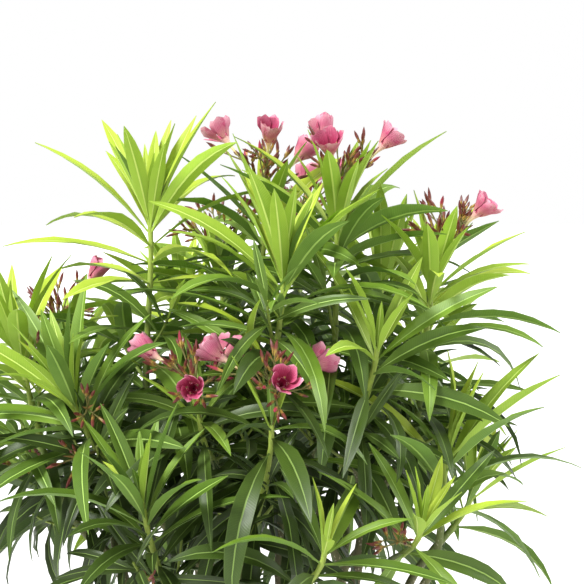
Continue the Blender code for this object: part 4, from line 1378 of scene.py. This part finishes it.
def petalMaterial(name, edge, middle, throat, stripe, amount, roughness=0.5):
    # colour runs from the throat to the edge, with finer stripes along the petal
    made, tree, shader = newMaterial(name, roughness, 0.35)
    across, along, _ = partsOf(tree, coordinates(tree, "UV"))
    wander = noisy(tree, coordinates(tree), 160, 3)
    reach = plus(tree, along, scaled(tree, wander, *petalLook["wander"]))
    colour = ramped(tree, reach, [(0.0, throat), (petalLook["middle"], middle), (1.0, edge)])
    shift = times(tree, wander, petalLook["stripeWander"])
    lines = waved(tree, scaled(tree, across, petalLook["stripes"], shift))
    lines = calc(tree, "POWER", lines, petalLook["stripeSharp"])
    fade = ranged(tree, along, 0.1, 0.95, amount, amount * 0.15)
    colour = blended(tree, times(tree, lines, fade), colour, stripe)
    finished(tree, shader, colour, scaled(tree, wander, 0.2, roughness - 0.1), lines, 0.25, 0.0004)
    return made


def streakedMaterial(name, stops, stripe, amount, roughness):
    # small parts of a spray: a run of colour along them and streaks round them
    made, tree, shader = newMaterial(name, roughness, 0.4)
    along = partsOf(tree, coordinates(tree, "UV"))[1]
    spot = coordinates(tree)
    blotch = noisy(tree, spot, 260, 3)
    colour = ramped(tree, plus(tree, along, scaled(tree, blotch, 0.3, -0.15)), stops)
    lines = noisy(tree, stretched(tree, spot, (900, 900, 200)), 1.0, 2)
    colour = blended(tree, times(tree, lines, amount), colour, stripe)
    finished(tree, shader, colour, scaled(tree, blotch, 0.2, roughness - 0.1), lines, 0.3, 0.0004)
    return made


# petals: edge, middle, throat and stripe colours, and how the stripes show
petalTints = {
    "petalFace": ((0.67, 0.21, 0.32), (0.50, 0.075, 0.17), (0.32, 0.018, 0.065), (0.28, 0.014, 0.055), 0.85),
    "petalBack": ((0.70, 0.35, 0.42), (0.52, 0.12, 0.21), (0.70, 0.34, 0.30), (0.34, 0.030, 0.08), 0.78),
}
# small parts: the run of colour from the root on, the streaks and how they show, and roughness
partTints = {
    "flowerTube": ([(0.0, (0.50, 0.48, 0.09)), (0.45, (0.82, 0.76, 0.42)), (1.0, (0.76, 0.34, 0.40))],
                   (0.56, 0.12, 0.16), 0.34, 0.5),
    "calyx": ([(0.0, (0.30, 0.22, 0.05)), (0.5, (0.22, 0.070, 0.040)), (1.0, (0.16, 0.030, 0.032))],
              (0.36, 0.32, 0.08), 0.3, 0.5),
    "budSkin": ([(0.0, (0.44, 0.42, 0.06)), (0.24, (0.42, 0.30, 0.05)), (0.46, (0.17, 0.036, 0.028)),
                 (1.0, (0.085, 0.014, 0.016))], (0.24, 0.07, 0.04), 0.30, 0.42),
    "pinkBudSkin": ([(0.0, (0.60, 0.56, 0.08)), (0.32, (0.66, 0.46, 0.10)), (0.52, (0.46, 0.050, 0.09)),
                     (1.0, (0.28, 0.018, 0.05))], (0.20, 0.020, 0.04), 0.30, 0.42),
    "stalkSkin": ([(0.0, (0.19, 0.19, 0.050)), (1.0, (0.17, 0.090, 0.040))], (0.10, 0.045, 0.028), 0.4, 0.6),
    "fringe": ([(0.0, (0.64, 0.28, 0.34)), (1.0, (0.82, 0.56, 0.56))], (0.6, 0.2, 0.3), 0.2, 0.6),
    "spent": ([(0.0, (0.36, 0.26, 0.06)), (1.0, (0.34, 0.15, 0.06))], (0.16, 0.07, 0.03), 0.5, 0.8),
}
blossomFinishes = [petalMaterial(name, *tint) for name, tint in petalTints.items()]
blossomFinishes += [streakedMaterial(name, *tint) for name, tint in partTints.items()]


def addPetal(joined, base, along, side, turn, openness, draw):
    # one edge of each petal lies under the petal before it, and the rim is waved and a little crumpled
    other = along.cross(side)
    rows, columns, neck = petalForm["rows"], petalForm["across"], petalForm["neck"]
    curl, lift = draw.uniform(*petalForm["curlVary"]), draw.uniform(*petalForm["liftVary"])
    openness = min(1.0, max(0.2, openness + roughly(draw, petalForm["openVary"])))
    front, back = [], []
    for i, (height, radius, half) in enumerate(rows):
        share = i / (len(rows) - 1)
        reach = neck + (radius - neck) * openness
        rise = height + (1 - openness) * (radius - neck) * petalForm["closedRise"]
        rise -= curl * share ** 3 * petalForm["curl"]
        for across in columns:
            angle = turn + across * half / (reach + 0.0030) + petalForm["swirl"] * share
            outward = side * math.cos(angle) + other * math.sin(angle)
            cup = petalForm["cup"] * (1 - across * across) * math.sin(math.pi * min(share * 1.2, 1))
            tuck = across * petalForm["tuck"] * min(share * 1.6, 1)
            flute = petalForm["flute"] * share * math.sin(across * 4.0 + turn * 3)
            spot = base + outward * (reach + cup + tuck) + along * (rise + flute + lift * share)
            spot += noise.noise_vector(spot * petalForm["crumples"]) * petalForm["crumple"] * share
            inward = (along * 0.65 - outward * 0.75).normalized() * petalForm["thick"] / 2
            edge = i == 0 or i == len(rows) - 1 or abs(across) == 1.0
            front.append(spot if edge else spot + inward)
            back.append(None if edge else spot - inward)
    points, places, turned = list(front), [], {}
    for i in range(len(rows)):
        for k in range(len(columns)):
            places.append((k / (len(columns) - 1), i / (len(rows) - 1)))
    for n, spot in enumerate(back):
        turned[n] = n
        if spot is not None:
            turned[n] = len(points)
            points.append(spot)
            places.append(places[n])
    faces, marks = [], []
    for i in range(len(rows) - 1):
        for k in range(len(columns) - 1):
            a = i * len(columns) + k
            quad = (a, a + 1, a + 1 + len(columns), a + len(columns))
            faces.append(quad)
            faces.append(tuple(turned[n] for n in quad[::-1]))
            marks += [blossomMarks["face"], blossomMarks["back"]]
    joined.add(points, faces, marks, places)


def addSpindle(joined, root, along, length, radius, sides, mark, twist=0.0):
    # a bud, sepal or fringe tooth: rings that swell and close to a tip
    side = squareTo(along, Vector((0.9, 0.3, 0.2)))
    sections, places = [], []
    isBud = sides > 4
    rings = blossomForm["budRings" if isBud else "toothRings"]
    bend = noise.noise_vector(root * blossomForm["budBends"]) * length
    bend *= blossomForm["budBend"] if isBud else 0.0
    for i, (share, wide) in enumerate(rings):
        centre = root + along * length * share + bend * share * share
        sections.append(ringAt(centre, along, side, radius * wide, sides, twist * i))
        places += [(k / sides, share) for k in range(sides)]
    sections.append([root + along * length + bend])
    points, faces = lofted(sections)
    joined.add(points, faces, blossomMarks[mark], places + [(0.5, 1.0)])


# a stalk's radii from its root to its end
stalkRadii = {
    "spray": (0.0021, 0.0019, 0.0018), "branch": (0.0012, 0.0011, 0.0010), "fork": (0.0010, 0.0009, 0.0008),
    "bud": (0.0008, 0.0007, 0.0009), "flower": (0.0010, 0.0009, 0.0011), "faded": (0.0017, 0.0014, 0.0012),
}


def addStalk(joined, kind, *points, sides=5):
    if len(points) == 2:
        points = (points[0], mixed(*points, 0.5), points[1])
    joined.addSwept(points, stalkRadii[kind], sides, blossomMarks["stalk"])


def clearHeading(seat, heading, length, stalk):
    # a bud's heading, or a steeper one where a leaf is in its way
    for share in (0.0, 0.3, 0.6):
        leaving = mixed(heading, upward, share).normalized()
        if leafRoom.isFree(*budForm(seat + leaving * stalk, leaving, length, blossomForm["budRadius"])):
            return leaving
    return None


def addBudOn(joined, seat, heading, length, draw, stalk=0.0):
    heading = clearHeading(seat, heading, length, stalk)
    if not heading:
        return
    start = seat + heading * stalk
    if stalk:
        addStalk(joined, "bud", seat, seat + heading * stalk * 0.5, start + heading * 0.001)
    pink = draw.random() < blossomForm["pinkShare"] and length > blossomForm["pinkLong"]
    radius = blossomForm["budRadius"] * mixed(0.62, 1.0, min(1.0, length / blossomForm["fullBud"]))
    addSpindle(joined, start, heading, length, radius, 6, "pinkBud" if pink else "bud",
               draw.choice(blossomForm["budTwist"]))
    for i in range(3):
        out = sideways(heading, math.tau * i / 3 + draw.uniform(0, 0.6))
        foot = start + out * radius * blossomForm["budSepalOut"]
        addSpindle(joined, foot, tilted(heading, out, blossomForm["sepalLean"]),
                   length * blossomForm["budSepalLong"], blossomForm["budSepalWide"], 3, "calyx")


def addFlower(joined, root, along, reach, draw):
    base = root + along * reach
    side = squareTo(along)
    addStalk(joined, "flower", root, mixed(root, base, 0.5), base + along * 0.001)
    sections, places = [], []
    count = blossomForm["tubeSides"]
    for i, (height, radius) in enumerate(blossomForm["tube"] + blossomForm["throat"]):
        centre = base + along * height
        sections.append(ringAt(centre, along, side, radius, count) if radius else [centre])
        rise = i / (len(blossomForm["tube"]) - 1)
        places += [(k / count, rise if rise <= 1 else 0.0) for k in range(len(sections[-1]))]
    points, faces = lofted(sections)
    outside = count * (len(blossomForm["tube"]) - 1)
    marks = [blossomMarks["tube"]] * outside + [blossomMarks["face"]] * (len(faces) - outside - 1)
    joined.add(points, faces, marks + [blossomMarks["tube"]], places)
    openness = draw.uniform(*blossomForm["openness"])
    gap = blossomForm["fringeGap"]
    for i in range(5):
        addPetal(joined, base, along, side, math.tau * i / 5, openness, draw)
        angle = math.tau * (i + 0.5) / 5
        outward = side * math.cos(angle) + along.cross(side) * math.sin(angle)
        for k in (-gap, 0.0, gap):
            tooth = base + outward * blossomForm["fringeOut"] + along * blossomForm["fringeHeight"]
            tooth += along.cross(outward) * k * 2
            addSpindle(joined, tooth, tilted(along, -outward, 0.25 + k * 200),
                       draw.uniform(*blossomForm["fringeLong"]), blossomForm["fringeWide"], 3, "fringe")
        foot = base + outward * blossomForm["sepalOut"]
        addSpindle(joined, foot, tilted(along, outward, blossomForm["sepalLean"]),
                   blossomForm["sepalLong"], blossomForm["sepalWide"], 3, "calyx")


# how stalks and buds spread from the end of a branch: turns and angles in degrees, lengths in metres
sprayVary = {
    "fanAngle": (8, 36), "firstBud": (0.016, 0.022), "nextBuds": (0.010, 0.018), "fanStalk": (0.003, 0.008),
    "forkBend": 0.12, "forkBends": 90, "forkBuds": (2, 3, 3), "longFork": 0.018,
    "sideBud": (0.011, 0.017), "sideStalk": (0.003, 0.009),
    "forkTurn": (130, 70), "forkAngle": (30, 50), "forkReach": (0.010, 0.024),
    "spentTurn": (120, 90), "spentAt": (0.002, 0.014), "spentLong": (0.005, 0.010),
    "topTurn": (72, 40), "topAngle": (8, 44), "topReach": (0.018, 0.042),
    "budShrink": (0.8, 1.0), "forkAt": 0.34, "forkGap": 0.24, "forkAtVary": 0.05, "spentWide": 0.0011,
}


def drawAngle(draw, name):
    return math.radians(draw.uniform(*sprayVary[name]))


def drawTurn(draw, name, k):
    step, vary = sprayVary[name]
    return math.radians(step * k + draw.uniform(0, vary))


def addFan(joined, seat, heading, count, draw):
    # a few buds of unlike age that spread from the end of one stalk
    for i in range(count):
        turn = math.tau * i / count + draw.uniform(0, 1.0)
        leaving = awayFrom(heading, turn, drawAngle(draw, "fanAngle"))
        long = draw.uniform(*sprayVary["nextBuds" if i else "firstBud"])
        addBudOn(joined, seat, leaving, long, draw, draw.uniform(*sprayVary["fanStalk"]))


def addFork(joined, seat, heading, reach, draw):
    # a side stalk with a slight bend, a fan at its end and at times a bud part of the way along
    bend = noise.noise_vector(seat * sprayVary["forkBends"]) * reach * sprayVary["forkBend"]
    end = seat + heading * reach
    middle = mixed(seat, end, 0.55) + bend
    addStalk(joined, "fork", seat - heading * 0.0008, middle, end)
    onwards = (end - middle).normalized()
    addFan(joined, end - onwards * 0.0008, onwards, draw.choice(sprayVary["forkBuds"]), draw)
    if reach > sprayVary["longFork"]:
        leaving = awayFrom(heading, draw.uniform(0, math.tau), 0.6)
        addBudOn(joined, middle, leaving, draw.uniform(*sprayVary["sideBud"]), draw,
                 draw.uniform(*sprayVary["sideStalk"]))


def addSpray(joined, spray):
    draw = random.Random(spray["seed"] + seeds["sprays"])
    tip, axis, top = spray["tip"], spray["axis"], spray["top"]
    foot = tip - axis * sprayRule["sink"]
    addStalk(joined, "spray", foot, mixed(tip, top, 0.5), top, sides=7)
    for branch in spray["branches"]:
        root, along, reach = branch["root"], branch["along"], branch["reach"]
        end = root + along * reach
        if branch["flower"]:
            addFlower(joined, root, along, reach, draw)
        else:
            addStalk(joined, "branch", root, end)
            addFan(joined, end - along * 0.001, along, 3, draw)
        for seat, heading, length in branch["buds"]:
            addBudOn(joined, seat, heading, length * draw.uniform(*sprayVary["budShrink"]), draw)
        for k in range(3):
            heading = awayFrom(along, drawTurn(draw, "forkTurn", k), drawAngle(draw, "forkAngle"))
            share = sprayVary["forkAt"] + sprayVary["forkGap"] * k + roughly(draw, sprayVary["forkAtVary"])
            seat = root + along * reach * share
            addFork(joined, seat, heading, draw.uniform(*sprayVary["forkReach"]), draw)
        for k in range(3):
            leaving = awayFrom(along, drawTurn(draw, "spentTurn", k), 0.8)
            seat = root + along * draw.uniform(*sprayVary["spentAt"])
            addSpindle(joined, seat, leaving, draw.uniform(*sprayVary["spentLong"]),
                       sprayVary["spentWide"], 3, "spent" if k else "calyx")
    for k in range(5):
        heading = awayFrom(axis, drawTurn(draw, "topTurn", k), drawAngle(draw, "topAngle"))
        addFork(joined, top, heading, draw.uniform(*sprayVary["topReach"]), draw)


# heads that have flowered, on shoots that have grown on past them: how far back each stands and its turn
fadedHeads = {
    "left_far": ((0.034, 35),),
    "left_front": ((0.030, 30), (0.070, -35)),
    "left_low": ((0.016, -10), (0.052, 40)),
    "front_left": ((0.105, -30),),
    "right_inner": ((0.030, -45),),
    "back_left_low": ((0.040, 150),),
    "back_right_low": ((0.045, 190),),
}
fadedForm = {
    "angle": 52, "reach": 0.036, "reachVary": (0.85, 1.15),
    "arms": 6, "spread": (12, 62), "armReach": (0.009, 0.021), "stubLong": (0.010, 0.018),
    "stubWide": 0.0013,
}


def addFadedHead(joined, path, back, swing, draw):
    # dry stubs where flowers fell, and a few late buds
    start, axis = path.at(path.length - back)
    leaving = awayFrom(axis, math.radians(swing), math.radians(fadedForm["angle"]))
    top = start + leaving * fadedForm["reach"] * draw.uniform(*fadedForm["reachVary"])
    addStalk(joined, "faded", start, top)
    for k in range(fadedForm["arms"]):
        turn = math.tau * k / fadedForm["arms"] + draw.uniform(0, 0.7)
        heading = awayFrom(leaving, turn, math.radians(draw.uniform(*fadedForm["spread"])))
        if k % 3 < 2:
            addFork(joined, top, heading, draw.uniform(*fadedForm["armReach"]), draw)
        else:
            addSpindle(joined, top, heading, draw.uniform(*fadedForm["stubLong"]), fadedForm["stubWide"], 3,
                       "spent")


def buildBlossom(grown):
    joined = Joined("blossom", blossomFinishes)
    for _, entry in shootsOf(grown):
        if entry["spray"]:
            addSpray(joined, entry["spray"])
    draw = random.Random(seeds["fadedHeads"])
    for name, entry in shootsOf(grown):
        for back, swing in fadedHeads.get(name, ()):
            addFadedHead(joined, entry["path"], back, swing, draw)
    standsFor(joined.build(sharpAngles["blossom"]), "petal")


buildBlossom(grownStems)


# pot and soil

pot = {
    "height": 0.245, "rim": 0.138, "foot": 0.094, "wall": 0.009, "floor": 0.012,
    "collar": 0.048, "collarStep": 0.007, "collarTaper": 0.002,
    "drain": 0.006, "drainCircle": 0.048, "drains": 4, "steps": 120,
    "lip": 0.0045, "lipEdge": 0.0013, "edge": 0.0012, "bevel": 0.0022, "floorBevel": 0.003,
    "wallRows": 14, "wallWave": 0.00025, "wallWaves": 2.4,
}


def spunForm(profile, steps):
    # a profile of (radius, height) turned a full circle round the upright axis
    form = bmesh.new()
    verts = [form.verts.new((radius, 0, height)) for radius, height in profile]
    edges = [form.edges.new(pair) for pair in zip(verts, verts[1:])]
    bmesh.ops.spin(form, geom=verts + edges, cent=(0, 0, 0), axis=(0, 0, 1), angle=math.tau, steps=steps,
                   use_merge=True)
    bmesh.ops.remove_doubles(form, verts=form.verts, dist=0.00002)
    bmesh.ops.recalc_face_normals(form, faces=form.faces)
    return form


# the clay: its colours, and how bands of turning, dark specks and white salt show
clayLook = {
    "light": (0.56, 0.235, 0.115), "dark": (0.40, 0.150, 0.070),
    "band": (0.66, 0.33, 0.19), "bandScale": (3, 3, 190), "bandShow": 0.22, "bandRelief": 0.6,
    "speck": (0.22, 0.085, 0.045), "speckShow": (0.62, 0.72, 0.0, 0.45), "speckRelief": 0.5,
    "salt": (0.70, 0.58, 0.48), "saltShow": (0.47, 0.66, 0.0, 0.75),
    "saltLow": (0.0, 0.11, 1.0, 0.0), "saltHigh": (0.205, 0.245, 0.0, 0.55),
    "roughness": (0.3, 0.7, 0.78, 0.94),
}


def makeClay():
    made, tree, shader = newMaterial("clayFinish", 0.85, 0.3)
    spot = coordinates(tree)
    height = partsOf(tree, spot)[2]
    cloud = noisy(tree, spot, 9, 5, 0.6)
    speck = noisy(tree, spot, 420, 2, 0.7)
    band = noisy(tree, stretched(tree, spot, clayLook["bandScale"]), 1.0, 2)
    bloom = noisy(tree, spot, 21, 6, 0.65)
    colour = blended(tree, cloud, clayLook["light"], clayLook["dark"])
    colour = blended(tree, times(tree, band, clayLook["bandShow"]), colour, clayLook["band"])
    colour = blended(tree, ranged(tree, speck, *clayLook["speckShow"]), colour, clayLook["speck"])
    low = ranged(tree, height, *clayLook["saltLow"])
    high = ranged(tree, height, *clayLook["saltHigh"])
    salt = times(tree, ranged(tree, bloom, *clayLook["saltShow"]), calc(tree, "MAXIMUM", low, high))
    colour = blended(tree, salt, colour, clayLook["salt"])
    relief = plus(tree, times(tree, band, clayLook["bandRelief"]),
                  times(tree, speck, clayLook["speckRelief"]))
    finished(tree, shader, colour, ranged(tree, cloud, *clayLook["roughness"]), relief, 0.5, 0.0008)
    return made


# loose parts of the mix: light and dark colour, and roughness
soilTints = {
    "soilFinish": ((0.085, 0.055, 0.034), (0.022, 0.014, 0.009), 0.97),
    "chipFinish": ((0.24, 0.135, 0.072), (0.070, 0.038, 0.022), 0.9),
    "stoneFinish": ((0.62, 0.60, 0.54), (0.36, 0.34, 0.30), 0.9),
}


def makeSoilFinish(name):
    light, dark, roughness = soilTints[name]
    made, tree, shader = newMaterial(name, roughness, 0.25)
    spot = coordinates(tree)
    grain = noisy(tree, spot, 240, 5, 0.7)
    patch = noisy(tree, spot, 26, 3)
    colour = blended(tree, grain, dark, light)
    colour = blended(tree, times(tree, patch, 0.6), colour, dark)
    finished(tree, shader, colour, ranged(tree, patch, 0.3, 0.7, roughness - 0.12, roughness), grain,
             0.8, 0.0015)
    return made


def buildPot():
    # inside of the floor, wall and lip, then the collar, its step, the wall and the foot
    rim, foot, top, floor = pot["rim"], pot["foot"], pot["height"], pot["floor"]
    lip, lipEdge, edge, bevel = pot["lip"], pot["lipEdge"], pot["edge"], pot["bevel"]
    inner = rim - pot["collarStep"] - pot["wall"]
    slope = (rim - pot["collarStep"] - foot) / top
    step = top - pot["collar"]
    corner = foot + slope * floor - pot["wall"]
    under = rim - pot["collarTaper"]
    profile = [(0, floor), (corner - pot["floorBevel"], floor), (corner, floor + pot["floorBevel"]),
               (inner, top - lip), (inner + edge, top - lipEdge), (inner + lip, top), (rim - lip, top),
               (rim - lipEdge, top - lipEdge), (rim, top - lip), (under, step + bevel),
               (under - bevel, step), (foot + slope * step + 0.0010, step),
               (foot + slope * step, step - edge)]
    for i in range(1, pot["wallRows"]):
        height = mixed(step - edge, 0.004, i / pot["wallRows"])
        profile.append((foot + slope * height + pot["wallWave"] * math.sin(i * pot["wallWaves"]), height))
    profile += [(foot, 0.0025), (foot - 0.0008, 0.0007), (foot - 0.0028, 0.0), (0, 0)]
    made = formObject("pot_turned", spunForm(profile, pot["steps"]), [makeClay()], sharpAngles["pot"])
    drains = bmesh.new()
    for i in range(pot["drains"]):
        angle = math.tau * (i + 0.5) / pot["drains"]
        across, along = math.cos(angle), math.sin(angle)
        place = Matrix.Translation((pot["drainCircle"] * across, pot["drainCircle"] * along, 0))
        bmesh.ops.create_cone(drains, cap_ends=True, segments=28, radius1=pot["drain"],
                              radius2=pot["drain"], depth=4 * floor, matrix=place)
    cutter = formObject("drains", drains, [], sharpAngles["drains"])
    cut = made.modifiers.new("drains", "BOOLEAN")
    cut.operation = "DIFFERENCE"
    cut.solver = "EXACT"
    cut.object = cutter
    applied(made)
    bpy.data.objects.remove(cutter)
    standsFor(made, "clay", "pot")


soilForm = {
    "radius": 0.1172, "low": 0.0125, "lowRadius": 0.0866, "rings": 40, "steps": 110,
    "relief": ((28, 0.0026), (90, 0.0016), (230, 0.0009)), "above": 0.0008, "mound": 0.0035,
    "moundSpread": 0.0035, "chips": 330, "chipCircle": 0.110, "stoneShare": 0.22,
    "stoneSize": (0.0014, 0.0026), "chipSize": (0.0025, 0.0065), "chipWide": (0.35, 0.7),
    "chipThick": (0.14, 0.3), "stoneShape": (1, 1, 0.8), "lean": 0.35, "sink": 0.35, "vary": (0.75, 1.2),
}


def soilHeight(x, y):
    spot = Vector((x, y, 0))
    rise = sum(height * noise.noise(spot * scale) for scale, height in soilForm["relief"])
    mound = soilForm["mound"] * math.exp(-(x * x + y * y) / soilForm["moundSpread"])
    return limbs["soilTop"] + soilForm["above"] + rise + mound


def buildSoil():
    rings = soilForm["rings"]
    profile = [(soilForm["radius"] * i / rings, limbs["soilTop"]) for i in range(rings + 1)]
    profile += [(soilForm["lowRadius"], soilForm["low"]), (0, soilForm["low"])]
    form = spunForm(profile, soilForm["steps"])
    for vert in form.verts:
        if vert.co.z > limbs["soilTop"] - 0.001:
            vert.co.z = soilHeight(vert.co.x, vert.co.y)
    made = formObject("soil_top", form, [makeSoilFinish("soilFinish")], sharpAngles["soil"])
    standsFor(made, "potting_mix", "soil")
    draw = random.Random(seeds["chips"])
    joined = Joined("soil_chips", [makeSoilFinish("chipFinish"), makeSoilFinish("stoneFinish")])
    lump = bmesh.new()
    bmesh.ops.create_icosphere(lump, subdivisions=1, radius=1.0)
    bmesh.ops.recalc_face_normals(lump, faces=lump.faces)
    base = [vert.co.copy() for vert in lump.verts]
    faces = [tuple(vert.index for vert in face.verts) for face in lump.faces]
    lump.free()
    for i in range(soilForm["chips"]):
        reach, angle = soilForm["chipCircle"] * math.sqrt(draw.random()), draw.uniform(0, math.tau)
        x, y = reach * math.cos(angle), reach * math.sin(angle)
        stone = draw.random() < soilForm["stoneShare"]
        size = draw.uniform(*soilForm["stoneSize" if stone else "chipSize"])
        flake = Vector((1.0, draw.uniform(*soilForm["chipWide"]), draw.uniform(*soilForm["chipThick"])))
        shape = Vector(soilForm["stoneShape"]) if stone else flake
        turn = Matrix.Rotation(draw.uniform(0, math.tau), 3, "Z")
        turn = turn @ Matrix.Rotation(draw.gauss(0, soilForm["lean"]), 3, "X")
        centre = Vector((x, y, soilHeight(x, y) + size * shape.z * soilForm["sink"]))
        points = [centre + turn @ Vector([point[k] * shape[k] * size * draw.uniform(*soilForm["vary"])
                                          for k in range(3)])
                  for point in base]
        joined.add(points, faces, 1 if stone else 0, [(0.5, 0.5)] * len(points))
    standsFor(joined.build(sharpAngles["chips"]), "potting_mix")


buildPot()
buildSoil()
